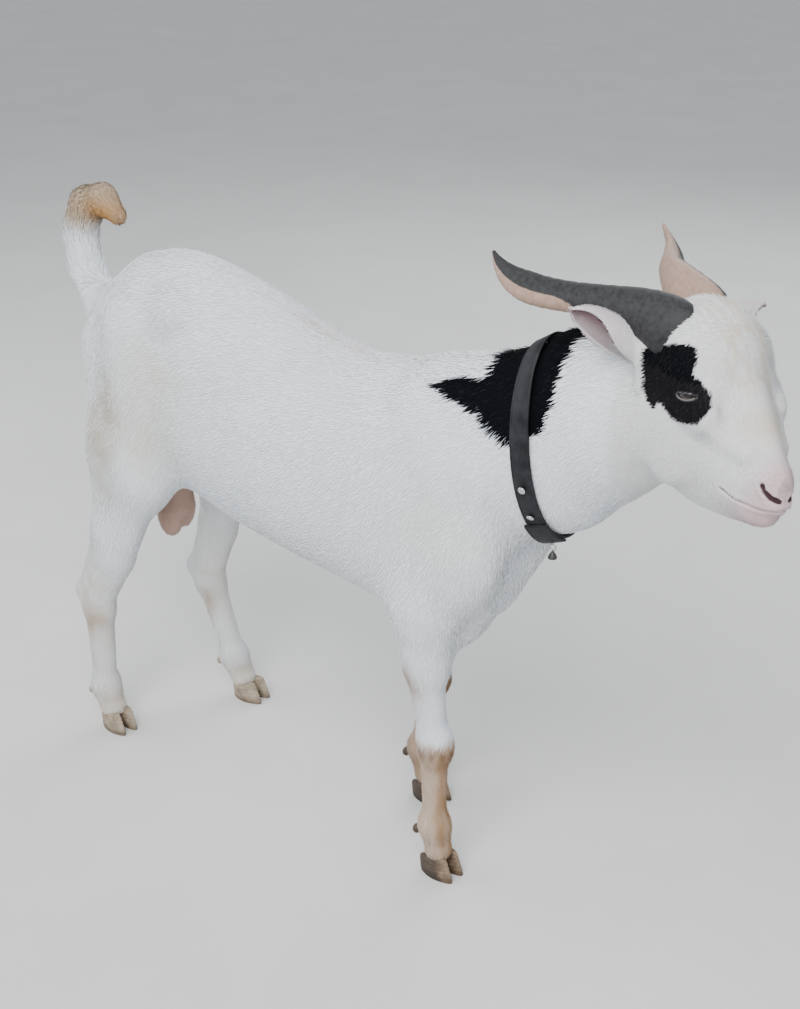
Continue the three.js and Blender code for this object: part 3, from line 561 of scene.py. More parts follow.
def sampled(field, low, size, step, coarse):
    """A field's values on a fine grid, worked out only near its surface; elsewhere just its sign."""
    axes = [low[i] + step * np.arange(size[i] + 1) for i in range(3)]
    rough = field(*np.meshgrid(*(a[::coarse] for a in axes), indexing="ij"))
    ends = [slice(0, -1), slice(1, None)]
    corners = [rough[ends[n >> 2], ends[n >> 1 & 1], ends[n & 1]] for n in range(8)]
    near = np.min(np.abs(corners), axis=0) < step * coarse * 1.6
    block = near.repeat(coarse, 0).repeat(coarse, 1).repeat(coarse, 2)
    fine = np.zeros(size + 1, bool)
    for n in range(8):
        fine[ends[n >> 2], ends[n >> 1 & 1], ends[n & 1]] |= block
    values = np.ones(size + 1, np.float32)
    inner = (rough[:-1, :-1, :-1] < 0).repeat(coarse, 0).repeat(coarse, 1).repeat(coarse, 2)
    values[:-1, :-1, :-1][inner] = -1
    where = np.nonzero(fine)
    places = [axes[n][where[n]].astype(np.float32) for n in range(3)]
    found = np.empty(len(where[0]), np.float32)
    for at in range(0, len(found), BATCH):
        part = slice(at, at + BATCH)
        found[part] = field(*(p[part] for p in places))
    values[where] = found
    return values


def cell_points(values, mixed):
    """The mean of the places where the surface cuts each mixed cell's edges, in cells."""
    corner = [[n & 1, n >> 1 & 1, n >> 2] for n in range(8)]
    v = np.stack([values[mixed[0] + i, mixed[1] + j, mixed[2] + k] for i, j, k in corner])
    total, crossings = np.zeros((len(mixed[0]), 3)), np.zeros(len(mixed[0]))
    for a, b in EDGES:
        crossed = (v[a] < 0) != (v[b] < 0)
        t = np.where(crossed, v[a] / np.where(crossed, v[a] - v[b], 1), 0)
        start, end = np.array(corner[a]), np.array(corner[b])
        total += crossed[:, None] * (start + (end - start) * t[:, None])
        crossings += crossed
    return np.stack(mixed, 1) + total / crossings[:, None]


def cell_quads(inside, ids, axis):
    """A quad through the four cells round each grid edge along an axis that crosses the surface."""
    u, w = (axis + 1) % 3, (axis + 2) % 3
    head, tail = [slice(None)] * 3, [slice(None)] * 3
    head[axis], tail[axis] = slice(0, -1), slice(1, None)
    at = np.stack(np.nonzero(inside[tuple(head)] != inside[tuple(tail)]), 1)
    at = at[(at[:, u] > 0) & (at[:, w] > 0) & (at[:, u] < ids.shape[u]) & (at[:, w] < ids.shape[w])]
    ring = []
    for a, b in ((1, 1), (0, 1), (0, 0), (1, 0)):
        home = at.copy()
        home[:, u] -= a
        home[:, w] -= b
        ring.append(ids[tuple(home.T)])
    quad = np.stack(ring, 1)
    flipped = ~inside[tuple(at.T)]
    quad[flipped] = quad[flipped][:, ::-1]
    return quad


def polygonize(field, low, high, step, coarse=4):
    """Dual mesh of a field: the vertices' places and the quads, one vertex in each cell of the surface."""
    size = ((np.subtract(high, low) / step / coarse).astype(int) + 1) * coarse
    values = sampled(field, low, size, step, coarse)
    inside = values < 0
    cell = [slice(0, -1), slice(1, None)]
    count = sum(inside[cell[n & 1], cell[n >> 1 & 1], cell[n >> 2]].astype(np.int8) for n in range(8))
    mixed = np.nonzero((count > 0) & (count < 8))
    ids = np.full(count.shape, -1, np.int32)
    ids[mixed] = np.arange(len(mixed[0]))
    points = np.array(low) + cell_points(values, mixed) * step
    return points, np.concatenate([cell_quads(inside, ids, axis) for axis in range(3)])


def slope_of(field, p, h=0.4):
    """A field's value and its gradient at points."""
    x, y, z = p.T
    g = [(field(*(p + e).T) - field(*(p - e).T)) / (2 * h) for e in np.eye(3) * h]
    return field(x, y, z), np.stack(g, 1)


def onto(field, p, passes=3, reach=3.0):
    """Moves points onto a field's surface, each no further than reach."""
    start = p.copy()
    for _ in range(passes):
        d, g = slope_of(field, p)
        p = p - g * (d / (np.sum(g * g, 1) + 1e-6))[:, None]
        p = start + np.clip(p - start, -reach, reach)
    return p


def merged(points, quads, step, low):
    """Thins the mesh away from the head: the vertices that share a larger cell become one."""
    h = to_head(points)
    times = np.full(len(points), 3)
    times[(points[:, 2] < 420) | (points[:, 0] < -590)] = 2
    times[h[:, 0] > HEAD_FROM] = 2
    times[((h[:, 0] > -212) | ((h[:, 0] > -255) & (np.abs(h[:, 1]) > 62))) & (points[:, 2] > 600)] = 1
    cell = ((points - low) / (step * times[:, None])).astype(np.int64)
    key = ((cell[:, 0] * 4096 + cell[:, 1]) * 4096 + cell[:, 2]) * 4 + times
    single = times == 1
    key[single] = -1 - np.arange(single.sum())
    _, home = np.unique(key, return_inverse=True)
    home = home.ravel()
    share = np.bincount(home)
    places = np.stack([np.bincount(home, points[:, i]) / share for i in range(3)], 1)
    return places, home[quads]


def tidy_faces(quads):
    """Quads with no corner twice, as lists of three or four corners, and no face twice."""
    faces, seen = [], set()
    for quad in quads.tolist():
        face = [c for n, c in enumerate(quad) if c != quad[n - 1]]
        if len(face) < 3 or len(set(face)) < len(face):
            continue
        key = tuple(sorted(face))
        if key not in seen:
            seen.add(key)
            faces.append(face)
    return faces


# ---------------------------------------------------- pieces and where they stand
# The row frame has its origin under the middle of the whole animal; the right eye ties the two frames.
EYE_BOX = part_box("eye_right")
SHIFT = (np.add(*EYE_BOX) / 2) * 1000 - from_head((EYE[0], -EYE[1], EYE[2]))


def metres(p):
    """Points of the body's axes, in millimetres, in the row frame's metres."""
    return (np.asarray(p, float) + SHIFT) / 1000


def mesh_from(name, points, faces):
    """A mesh from points in the body's axes and lists of corners."""
    mesh = bpy.data.meshes.new(name)
    if isinstance(faces, np.ndarray):
        sizes, corners = np.full(len(faces), faces.shape[1]), faces.ravel()
    else:
        sizes = np.array([len(face) for face in faces])
        corners = np.concatenate([np.asarray(f) for f in faces])
    mesh.vertices.add(len(points))
    mesh.vertices.foreach_set("co", metres(points).astype(np.float32).ravel())
    mesh.loops.add(int(sizes.sum()))
    mesh.loops.foreach_set("vertex_index", corners.astype(np.int32))
    mesh.polygons.add(len(faces))
    mesh.polygons.foreach_set("loop_start", (np.cumsum(sizes) - sizes).astype(np.int32))
    mesh.update(calc_edges=True)
    mesh.validate()
    mesh.shade_smooth()
    return mesh


def show(mesh, material, replaced=()):
    """Adds a finished mesh to the scene as a piece of the animal."""
    piece = bpy.data.objects.new(mesh.name, mesh)
    bpy.context.scene.collection.objects.link(piece)
    mesh.materials.append(material)
    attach(piece, "root")
    if replaced:
        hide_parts(*replaced)
    return piece


def per_vertex(mesh, name, values):
    """Keeps a number, a vector or a colour for each vertex, for the material to read."""
    values = np.asarray(values, np.float32)
    if values.ndim == 1:
        mesh.attributes.new(name, "FLOAT", "POINT").data.foreach_set("value", values)
    elif name == "coat":
        rgba = np.concatenate([values, np.ones((len(values), 1), np.float32)], 1)
        mesh.attributes.new(name, "FLOAT_COLOR", "POINT").data.foreach_set("color", rgba.ravel())
    else:
        mesh.attributes.new(name, "FLOAT_VECTOR", "POINT").data.foreach_set("vector", values.ravel())


# ---------------------------------------------------- the camera, standing over the right shoulder
CAMERA_AT = np.array((996.7, -1290.4, 1261.7))
CAMERA_AIM = (-0.63213, 0.77486)
CAMERA_DOWN, CAMERA_ROLL = 25.0, 0.7
CAMERA_LENS = 51.73


def add_camera():
    heading = Vector((*CAMERA_AIM, 0)).normalized()
    down = math.radians(CAMERA_DOWN)
    ahead = heading * math.cos(down) - Vector((0, 0, 1)) * math.sin(down)
    right = Vector((-CAMERA_AIM[1], CAMERA_AIM[0], 0)).normalized() * -1
    up = right.cross(ahead)
    turn = math.radians(CAMERA_ROLL)
    co, si = math.cos(turn), math.sin(turn)
    right, up = right * co - up * si, right * si + up * co
    lens = bpy.data.cameras.new("camera")
    lens.lens = CAMERA_LENS
    camera = bpy.data.objects.new("camera", lens)
    facing = Matrix((right, up, -ahead)).transposed().to_4x4()
    camera.matrix_world = Matrix.Translation(metres(CAMERA_AT)) @ facing
    bpy.context.scene.collection.objects.link(camera)
    bpy.context.scene.camera = camera


add_camera()


# ---------------------------------------------------- the skin
def chosen_edges(mesh, near):
    """The edges whose two ends are both near."""
    return [e for e in mesh.edges if near[e.verts[0].index] and near[e.verts[1].index]]


def refine(points, faces):
    """Halves the faces round the eyes, the nostrils and the lips, and sets the new corners on the skin."""
    mesh = bmesh.new()
    for p in points.tolist():
        mesh.verts.new(p)
    mesh.verts.ensure_lookup_table()
    for face in faces:
        mesh.faces.new([mesh.verts[i] for i in face])
    for reach in ((21, 8.5, 6), (15, 6, 3.4)):
        places = np.array([v.co for v in mesh.verts], float)
        h = to_head(places)
        ay = np.abs(h[:, 1])
        from_eye = np.stack([h[:, 0] - EYE[0], ay - EYE[1], h[:, 2] - EYE[2]], 1)
        near = np.linalg.norm(from_eye, axis=1) < reach[0]
        near |= to_curve(NOSTRIL, h[:, 0], ay, h[:, 2])[0] < reach[1]
        near |= to_curve(MOUTH, h[:, 0], ay, h[:, 2])[0] < reach[2]
        mesh.verts.index_update()
        start = len(mesh.verts)
        bmesh.ops.subdivide_edges(mesh, edges=chosen_edges(mesh, near), cuts=1, use_grid_fill=True)
        bmesh.ops.triangulate(mesh, faces=[f for f in mesh.faces if len(f.verts) > 4])
        mesh.verts.ensure_lookup_table()
        fresh = np.array([v.co for v in mesh.verts[start:]], float)
        for vert, place in zip(mesh.verts[start:], onto(skin_field, fresh, 3, 1.2)):
            vert.co = place
    mesh.verts.index_update()
    places = np.array([v.co for v in mesh.verts], float)
    faces = [[v.index for v in f.verts] for f in mesh.faces]
    mesh.free()
    return places, faces


def largest(points, faces):
    """Only the biggest connected sheet, with no loose corners."""
    label = np.arange(len(points))
    groups = [np.array([f for f in faces if len(f) == size]) for size in (3, 4)]
    changed = True
    while changed:
        before = label.copy()
        for group in groups:
            least = label[group].min(1)
            for corner in group.T:
                np.minimum.at(label, label[corner], least)
        label = label[label]
        changed = (label != before).any()
    first = label[np.array([f[0] for f in faces])]
    kept = first == np.bincount(first).argmax()
    faces = [f for f, keep in zip(faces, kept) if keep]
    used = np.unique(np.concatenate([np.asarray(f) for f in faces]))
    index = np.full(len(points), -1)
    index[used] = np.arange(len(used))
    return points[used], [index[f].tolist() for f in faces]


SKIN_LOW, SKIN_HIGH, SKIN_STEP = (-690, -190, 14), (520, 180, 880), 2.3


def skin_mesh():
    points, quads = polygonize(skin_for_grid, SKIN_LOW, SKIN_HIGH, SKIN_STEP)
    points, quads = merged(points, quads, SKIN_STEP, np.array(SKIN_LOW))
    points, faces = largest(points, tidy_faces(quads))
    points = onto(skin_field, points)
    points, faces = refine(points, faces)
    return mesh_from("skin", points, faces)


# ---------------------------------------------------- swept pieces
def loft(rings, closed=False):
    """Faces through rings of points, capped at both ends, or joined end to end."""
    count, around = len(rings), len(rings[0])
    faces = []
    for r in range(count if closed else count - 1):
        low, high = r * around, (r + 1) % count * around
        for i in range(around):
            j = (i + 1) % around
            faces.append([low + i, low + j, high + j, high + i])
    if not closed:
        faces.append(list(range(around))[::-1])
        faces.append([(count - 1) * around + i for i in range(around)])
    return np.concatenate(rings), faces


def lathe(profile, place, steps=32):
    """A solid of revolution: profile rows are radius and height, both ends on the axis."""
    turns = np.arange(steps) / steps * 2 * math.pi
    circle = np.stack([np.cos(turns), np.sin(turns), np.zeros(steps)], 1)
    rings = [circle * r + (0, 0, z) for r, z in profile[1:-1]]
    points, faces = loft(rings)
    faces = faces[:-2]
    ends = [(0, 0, profile[0][1]), (0, 0, profile[-1][1])]
    first, last = len(points), len(points) + 1
    top = (len(rings) - 1) * steps
    for i in range(steps):
        j = (i + 1) % steps
        faces.append([first, j, i])
        faces.append([last, top + i, top + j])
    points = np.concatenate([points, ends])
    return place(points), faces


def outward(points, faces):
    """Turns every face to look out of its closed body."""
    mesh = bmesh.new()
    for p in np.asarray(points).tolist():
        mesh.verts.new(p)
    mesh.verts.ensure_lookup_table()
    for face in faces:
        mesh.faces.new([mesh.verts[i] for i in face])
    bmesh.ops.recalc_face_normals(mesh, faces=mesh.faces)
    faces = [[v.index for v in f.verts] for f in mesh.faces]
    mesh.free()
    return points, faces


def along_axis(axis, at):
    """A placer that lays a lathe's own z axis along a direction."""
    turn = np.array(Vector((0, 0, 1)).rotation_difference(Vector(axis)).to_matrix())
    return lambda p: p @ turn.T + np.asarray(at)


# ---------------------------------------------------- horns
HORN_RINGS, HORN_SIDES = 150, 40


def bezier(points, t):
    """Places on a cubic curve, and its direction at each."""
    p = np.array(points, float)
    t = np.asarray(t)[:, None]
    s = 1 - t
    at = s**3 * p[0] + 3 * s**2 * t * p[1] + 3 * s * t**2 * p[2] + t**3 * p[3]
    slope = s**2 * (p[1] - p[0]) + 2 * s * t * (p[2] - p[1]) + t**2 * (p[3] - p[2])
    return at, unit(slope)


def horn_pale(side, t, co):
    """How far the tan of a horn's inner face reaches round: under the right end, and over the left."""
    if side == RIGHT:
        end = step(0.4, 0.58, t) * (1 - 0.6 * step(0.8, 1, t))
        return 2.3 * end[:, None] * np.maximum(0.15 - co, 0)
    return 0.5 + 0.7 * step(0.3, 0.55, t)[:, None] * np.maximum(co, 0)


def horn_mesh(side):
    """A horn: a flat keeled blade swept along its curve, with the growth rings of each year on it."""
    path = [(x, side * y, z) for x, y, z in HORN_PATH[side]]
    t = np.linspace(0, 1, HORN_RINGS)
    at, along = bezier(path, t)
    depth, half, turn = table_at(HORN_SECTION, t)
    tall = unit(np.array((0, 0, 1.0)) - along * along[:, 2:3])
    turn = np.radians(side * turn)[:, None]
    tall = tall * np.cos(turn) + np.cross(along, tall) * np.sin(turn)
    wide = np.cross(along, tall)
    angle = np.arange(HORN_SIDES) / HORN_SIDES * 2 * math.pi
    co, si = np.cos(angle), np.sin(angle)
    years = t**0.8 * 11 + 0.3 * np.sin(t * 40)
    swell = np.abs(np.sin(years * math.pi)) ** 0.6 - 0.6  # each year's growth is a shallow roll
    fine = np.sin(t * 260 + 2 * np.sin(t * 31)) * 0.16
    fade = np.clip((1 - t) / 0.25, 0, 1)
    bump = ((swell * 1.3 + fine) * fade)[:, None] * (0.55 + 0.45 * np.abs(si))
    a = depth[:, None] * np.where(co > 0, 1, 0.86) + bump
    b = half[:, None] * (1 - 0.18 * co) + bump
    rings = at[:, None] + tall[:, None] * (a * co)[..., None] + wide[:, None] * (b * si)[..., None]
    points, faces = outward(*loft(list(rings)))
    mesh = mesh_from(f"horn_{SIDE_NAME[side]}_keratin", from_head(points), faces)
    place = np.broadcast_arrays(t[:, None], co, si * side - horn_pale(side, t, co))
    per_vertex(mesh, "place", np.stack(place, -1).reshape(-1, 3))
    return mesh


# ---------------------------------------------------- eyes
def eye_mesh(side):
    """An eyeball with its cornea's bulge; the material paints iris and pupil by the place on it."""
    centre, out, along, up = eye_axes(side)
    profile = []
    for step in range(49):
        a = step / 48 * math.pi
        bulge = 1.1 * max(0, (math.cos(a) - 0.72) / 0.28) ** 1.5
        profile.append(((EYE_RADIUS + bulge) * math.sin(a), -(EYE_RADIUS + bulge) * math.cos(a)))
    axes = np.stack([along, up, -out])
    points, faces = lathe(profile, lambda p: p, 64)
    mesh = mesh_from(f"eye_{SIDE_NAME[side]}_ball", from_head(points @ axes + centre), faces)
    per_vertex(mesh, "place", points * (1, 1, -1) / EYE_RADIUS)
    return mesh


# ---------------------------------------------------- claws
CLAW = dict(length=52, width=18.5, cleft=1.6, toe=33, heel=22, lean=7, rings=30, sides=56)


def claw_mesh(name, leg, side):
    """One horn shoe of a foot: flat sole, rounded edge, pointed toe, walls ridged by growth."""
    turns = np.arange(CLAW["sides"]) / CLAW["sides"] * 2 * math.pi
    co, si = np.cos(turns), np.sin(turns)
    outer = si * side > 0
    x = CLAW["length"] / 2 * co * np.where(co > 0, 1.06, 0.94)
    reach = np.where(outer, 1.12 * (1 - 0.3 * np.maximum(co, 0) ** 1.5), 0.86)
    top = CLAW["heel"] + (CLAW["toe"] - CLAW["heel"]) * (x + CLAW["length"] / 2) / CLAW["length"]
    limit = CORONET_HEIGHT + CORONET_SLOPE * x - 0.3
    rings, heights = [], []
    for r in range(CLAW["rings"] + 4):
        low = max(0, (r - 3) / CLAW["rings"])
        edge = (0.93, 0.975, 0.995, 1.0)[min(r, 3)]
        lift = (0, 0, 0.4, 1.2)[min(r, 3)]
        grow = np.interp(low, (0, 0.12, 1), (1, 1.02, 0.86)) * edge
        ridge = 0.35 * math.sin(low * 34) * (low > 0.05) * (low < 0.94)
        roll = -1.6 * max(0, (low - 0.86) / 0.14) ** 2  # the wall turns in under the coronet's hair
        y = side * CLAW["width"] / 2 + CLAW["width"] / 2 * si * reach * grow
        z = np.minimum(np.maximum(low * np.minimum(top, limit), lift), limit)
        wall = np.where(outer | (co > 0.3), ridge, 0) + roll
        px = x * grow - low * CLAW["lean"] + co * wall
        rings.append(np.stack([px, y + side * CLAW["cleft"] + si * wall, z], 1))
        heights.append(np.full(len(x), low))
    points, faces = outward(*loft(rings))
    turn = math.radians(leg["toe"])
    c, s = math.cos(turn), math.sin(turn)
    turned = points @ np.array([[c, s, 0], [-s, c, 0], [0, 0, 1]])
    mesh = mesh_from(name, turned + leg["hoof"], faces)
    per_vertex(mesh, "place", np.stack([points[:, 0], points[:, 1], np.concatenate(heights)], 1))
    return mesh


DEWCLAW = dict(at=(-21, 10, -12), size=(6, 6, 8), pitch=0.5)


def dewclaw_mesh(name, leg, side):
    """A dewclaw: a blunt horn bud with three rolls of growth."""
    profile = []
    for step in range(25):
        a = step / 24 * math.pi
        roll = 1 + 0.035 * math.sin(step * 1.9)
        profile.append((math.sin(a) ** 0.9 * roll if 0 < step < 24 else 0, -math.cos(a)))
    points, faces = lathe(profile, lambda p: p * DEWCLAW["size"], 28)
    points[:, 2] *= np.where(points[:, 2] < 0, 1.0, 0.9)
    turn = np.array(Matrix.Rotation(DEWCLAW["pitch"], 3, "Y"))
    at = np.add(leg["fetlock"], (DEWCLAW["at"][0], side * DEWCLAW["at"][1], DEWCLAW["at"][2]))
    mesh = mesh_from(name, points @ turn.T + at, faces)
    per_vertex(mesh, "place", points / 8)
    return mesh


# ---------------------------------------------------- collar
COLLAR = dict(
    centre=(176, -6, 619),
    up=(-29, 0, 233),
    width=25,
    thick=3.5,
    clearance=2,
    # turns round the neck from its lowest point, in degrees
    lap=(-34, -6),
    studs=(-71.5, -43.5),
    charm=-9,
)
OVER_STRAP = COLLAR["clearance"] + COLLAR["thick"] + 0.3
BAND_STEPS = 200


def neck_axes():
    """The strap's own upward line, and the line through its loop."""
    up = unit(COLLAR["up"])
    return up, unit(np.cross((0, 1, 0), up))


def neck_at(turn, slide):
    """Places under the strap: the outward line at each turn from the bottom, and the point on the coat."""
    up, axis = neck_axes()
    turn = np.asarray(turn, float)
    slide = np.asarray(slide, float)
    out = np.sin(turn)[:, None] * np.array((0, 1, 0)) - np.cos(turn)[:, None] * up
    start = np.array(COLLAR["centre"]) + slide[:, None] * axis
    reach = np.zeros(len(turn))
    for _ in range(60):
        reach -= flesh(*(start + out * reach[:, None]).T) * 0.7
    return out, start + out * reach[:, None], axis


def band_mesh(name, start, end, steps, width, inner, thick):
    """A strap round the neck, its section a slim rectangle with rounded and creased edges."""
    closed = end - start > 359
    turns = np.radians(np.linspace(start, end, steps, endpoint=not closed))
    half, r = 0.5, 1.1 / width
    section = [(-half, 0.35), (-half + r * 0.3, 0.05), (-half + r, 0)]
    section += [(half - r, 0), (half - r * 0.3, 0.05), (half, 0.35)]
    section += [(half, 0.65), (half - r * 0.3, 0.93), (half - r, 1)]
    section += [(half - r * 2.2, 1), (half - r * 2.5, 0.9), (half - r * 2.8, 1)]  # the crease
    section += [(0, 1.04), (-half + r * 2.8, 1), (-half + r * 2.5, 0.9), (-half + r * 2.2, 1)]
    section += [(-half + r, 1), (-half + r * 0.3, 0.93), (-half, 0.65)]
    columns = []
    for across, rise in section:
        out, coat, _ = neck_at(turns, np.full(steps, across * width))
        columns.append(coat + out * (inner + rise * thick))
    rings = np.stack(columns, 1)
    points, faces = outward(*loft(list(rings), closed))
    mesh = mesh_from(name, points, faces)
    across, rise = np.array(section).T
    place = np.broadcast_arrays(turns[:, None], across, rise)
    per_vertex(mesh, "place", np.stack(place, -1).reshape(-1, 3))
    return mesh


def stud_mesh(name, turn):
    out, coat, _ = neck_at([math.radians(turn)], [0])
    dome = [(4.6 * math.cos(a), 0.8 + 2.1 * math.sin(a)) for a in np.linspace(0, math.pi / 2, 12)]
    profile = [(0, 0), (4.4, 0), (4.6, 0.25), *dome[:-1], (0, dome[-1][1])]
    points, faces = lathe(profile, along_axis(out[0], coat[0] + out[0] * (OVER_STRAP + 1.8)), 40)
    return mesh_from(name, points, faces)


CHARM = dict(ring=3.8, wire=1.0)
# The bell's outline from its crown to its hollow: radius and height.
BELL = [
    (0, 9), (1.2, 8.9), (2, 8), (2.6, 7), (4.2, 5), (5.0, 2.6),
    (5.6, 1.2), (5.6, 0.7), (5.2, 0), (4.4, 0.2), (0, 1.2),
]


def charm_meshes():
    out, coat, _ = neck_at([math.radians(COLLAR["charm"])], [0])
    hang = coat[0] + out[0] * (OVER_STRAP + COLLAR["thick"] + 1)
    drop = CHARM["ring"] + CHARM["wire"]
    turns = np.arange(48) / 48 * 2 * math.pi
    around = (np.arange(14) / 14 * 2 * math.pi)[:, None]
    rings = []
    for turn in turns:
        way = np.array((math.cos(turn), 0, math.sin(turn)))
        wire = np.cos(around) * way + np.sin(around) * (0, 1, 0)
        rings.append(way * CHARM["ring"] + CHARM["wire"] * wire)
    points, faces = outward(*loft(rings, True))
    ring = mesh_from("collar_ring_wire", points + hang - (0, 0, drop), faces)
    foot = hang - (0, 0, 2 * drop + 0.3 + 9)
    points, faces = outward(*lathe(BELL, lambda p: p + foot, 40))
    return ring, mesh_from("collar_bell_body", points, faces)


# ---------------------------------------------------- the coat's colours and markings
WHITE = (0.78, 0.835, 0.88)
CREAM = (0.66, 0.57, 0.44)
STAIN = (0.46, 0.38, 0.29)
DIRT = (0.36, 0.215, 0.11)
DARK_DIRT = (0.12, 0.075, 0.045)
SHIN = (0.60, 0.46, 0.36)
BLACK = (0.002, 0.0025, 0.004)
SOOT = (0.008, 0.007, 0.009)
FACE_WHITE = (0.72, 0.725, 0.735)
PINK = (0.60, 0.44, 0.46)
# The inside of the ear's roll: its own pink skin, darkened by painted shade.
EAR_PINK_AND_SHADE = (0.34, 0.20, 0.22)
# Painted shade in the nostrils' holes.
NOSTRIL_SHADE = (0.045, 0.024, 0.028)
# Painted shade along the mouth's crease.
MOUTH_CREASE_SHADE = (0.24, 0.18, 0.19)
LID_GREY = (0.25, 0.24, 0.25)
# Painted shade on the lids' inner edges, against the eyeball.
LID_CREASE_SHADE = (0.02, 0.015, 0.015)
GREY = (0.36, 0.36, 0.38)
TAIL_TAN = (0.34, 0.235, 0.13)
TAIL_ORANGE = (0.42, 0.215, 0.065)
BARE_TAN = (0.42, 0.245, 0.175)

# The black patch over the neck, seen from the side: x and z in the body's axes.
NECK_PATCH = [
    (33, 680), (56, 692), (106, 706), (107, 720), (112, 820), (250, 820),
    (236, 773), (222, 765), (218, 748), (213, 705), (207, 688), (205, 673),
    (187, 657), (151, 645), (133, 652), (110, 667), (79, 669),
]
# The black patch round the right eye, seen from the side: x and z in the head's axes.
EYE_PATCH = [
    (-178, 74), (-177, 116), (-168, 123), (-148, 130), (-130, 136), (-116, 136), (-110, 126),
    (-109, 111), (-99, 106), (-90, 97), (-81, 86), (-83, 77), (-89, 68), (-104, 62), (-124, 58),
    (-139, 61), (-147, 67), (-154, 66), (-158, 58), (-170, 61),
]
# Stains: place, size, colour and strength.
STAINS = [
    ((-500, -108, 520), (36, 40, 85), STAIN, 0.95),
    ((-400, -100, 620), (60, 30, 60), CREAM, 0.45),
    ((-420, -100, 520), (60, 30, 60), CREAM, 0.4),
    ((-564, -108, 194), (24, 26, 36), DIRT, 0.95),
    ((-560, -90, 200), (70, 40, 190), CREAM, 0.5),
    ((-500, 90, 200), (70, 40, 190), CREAM, 0.45),
    ((-92, 62, 60), (24, 30, 34), DARK_DIRT, 0.9),
    ((27, -92, 292), (20, 30, 34), BARE_TAN, 0.9),
    ((-510, 76, 168), (16, 20, 30), DIRT, 0.55),
    ((-250, -60, 390), (90, 40, 30), CREAM, 0.35),
    ((60, -60, 520), (60, 40, 60), CREAM, 0.25),
    ((-455, 86, 62), (30, 24, 18), DIRT, 0.35),
    ((-560, -94, 62), (30, 24, 20), DIRT, 0.3),
]


HASH = np.array((374761393, 668265263, 974634777))


def noise(p, cell, seed=0):
    """Smooth seeded noise between -1 and 1, with lumps about cell wide."""
    q = p / cell
    base = np.floor(q).astype(np.int64)
    f = q - base
    f = f * f * (3 - 2 * f)
    total = np.zeros(len(q))
    for n in range(8):
        corner = np.array((n & 1, n >> 1 & 1, n >> 2))
        at = base + corner
        mixed = (at @ HASH + seed * 144665) & 0xFFFFFFFF
        mixed = (mixed ^ (mixed >> 13)) * 1274126177 & 0xFFFFFFFF
        value = ((mixed ^ (mixed >> 16)) & 0xFFFF) / 32767.5 - 1
        total += value * np.prod(np.where(corner, f, 1 - f), axis=1)
    return total


def inside(outline, a, b):
    """How far places are inside a closed outline; less than nought outside it."""
    away = np.full(a.shape, 1e9)
    crossings = np.zeros(a.shape, int)
    for (x0, y0), (x1, y1) in zip(outline, outline[1:] + outline[:1]):
        dx, dy = x1 - x0, y1 - y0
        t = np.clip(((a - x0) * dx + (b - y0) * dy) / (dx * dx + dy * dy), 0, 1)
        away = np.minimum(away, np.hypot(a - x0 - dx * t, b - y0 - dy * t))
        spans = (b < y0) != (b < y1)
        crossings += spans & (a < x0 + dx * (b - y0) / (dy or 1e-9))
    return np.where(crossings % 2 == 1, away, -away)


def step(low, high, x):
    """A smooth rise from 0 at low to 1 at high; a fall where low is the greater."""
    t = np.clip((x - low) / (high - low), 0, 1)
    return t * t * (3 - 2 * t)


def blend(colour, other, share):
    """Colours, one a row, turned by a share of each towards another."""
    return colour + (np.array(other) - colour) * np.clip(share, 0, 1)[:, None]


def ragged(p, seed):
    """How far a patch's edge wanders, in millimetres."""
    return 3.2 * noise(p, 11, seed) + 2.0 * noise(p, 4.5, seed + 1)


def ear_share(h):
    """How much places in the head's axes are on an ear, and how much inside its roll."""
    on, within = np.zeros(len(h)), np.zeros(len(h))
    for side in BOTH:
        s, turn, r, radius, _, thick = ear_place(side, *h.T)
        near = step(0.1, 0.4, s) * (s < 1.15) * (r < radius + 6)
        on = np.maximum(on, near)
        # Strongest at the bottom of the roll's hollow: the ear's own pink there, with painted shade.
        deep_shade = 0.35 + 0.65 * step(1.7, 0.4, np.abs(turn - 0.3))
        within = np.maximum(within, near * deep_shade * step(-0.2, 0.8, radius - thick * 0.6 - r))
    return on, within


def lid_place(h):
    """How far places are out of the nearer eye's opening, and from the lids' surface."""
    gap, cover = np.full(len(h), 99.0), np.full(len(h), 99.0)
    for side in BOTH:
        centre, out, along, up = eye_axes(side)
        q = h - centre
        u, v, o = q @ along, q @ up, q @ out
        r = np.linalg.norm(q, axis=1)
        arc = 1 - np.clip(np.abs(u) / LID["half"], 0, 1.6) ** 2
        near = (o > 0) & (r < 26)
        gap = np.where(near, np.maximum(v - LID["upper"] * arc, -v - LID["lower"] * arc), gap)
        cover = np.where(near, r - EYE_RADIUS - LID["cover"], cover)
    return gap, cover


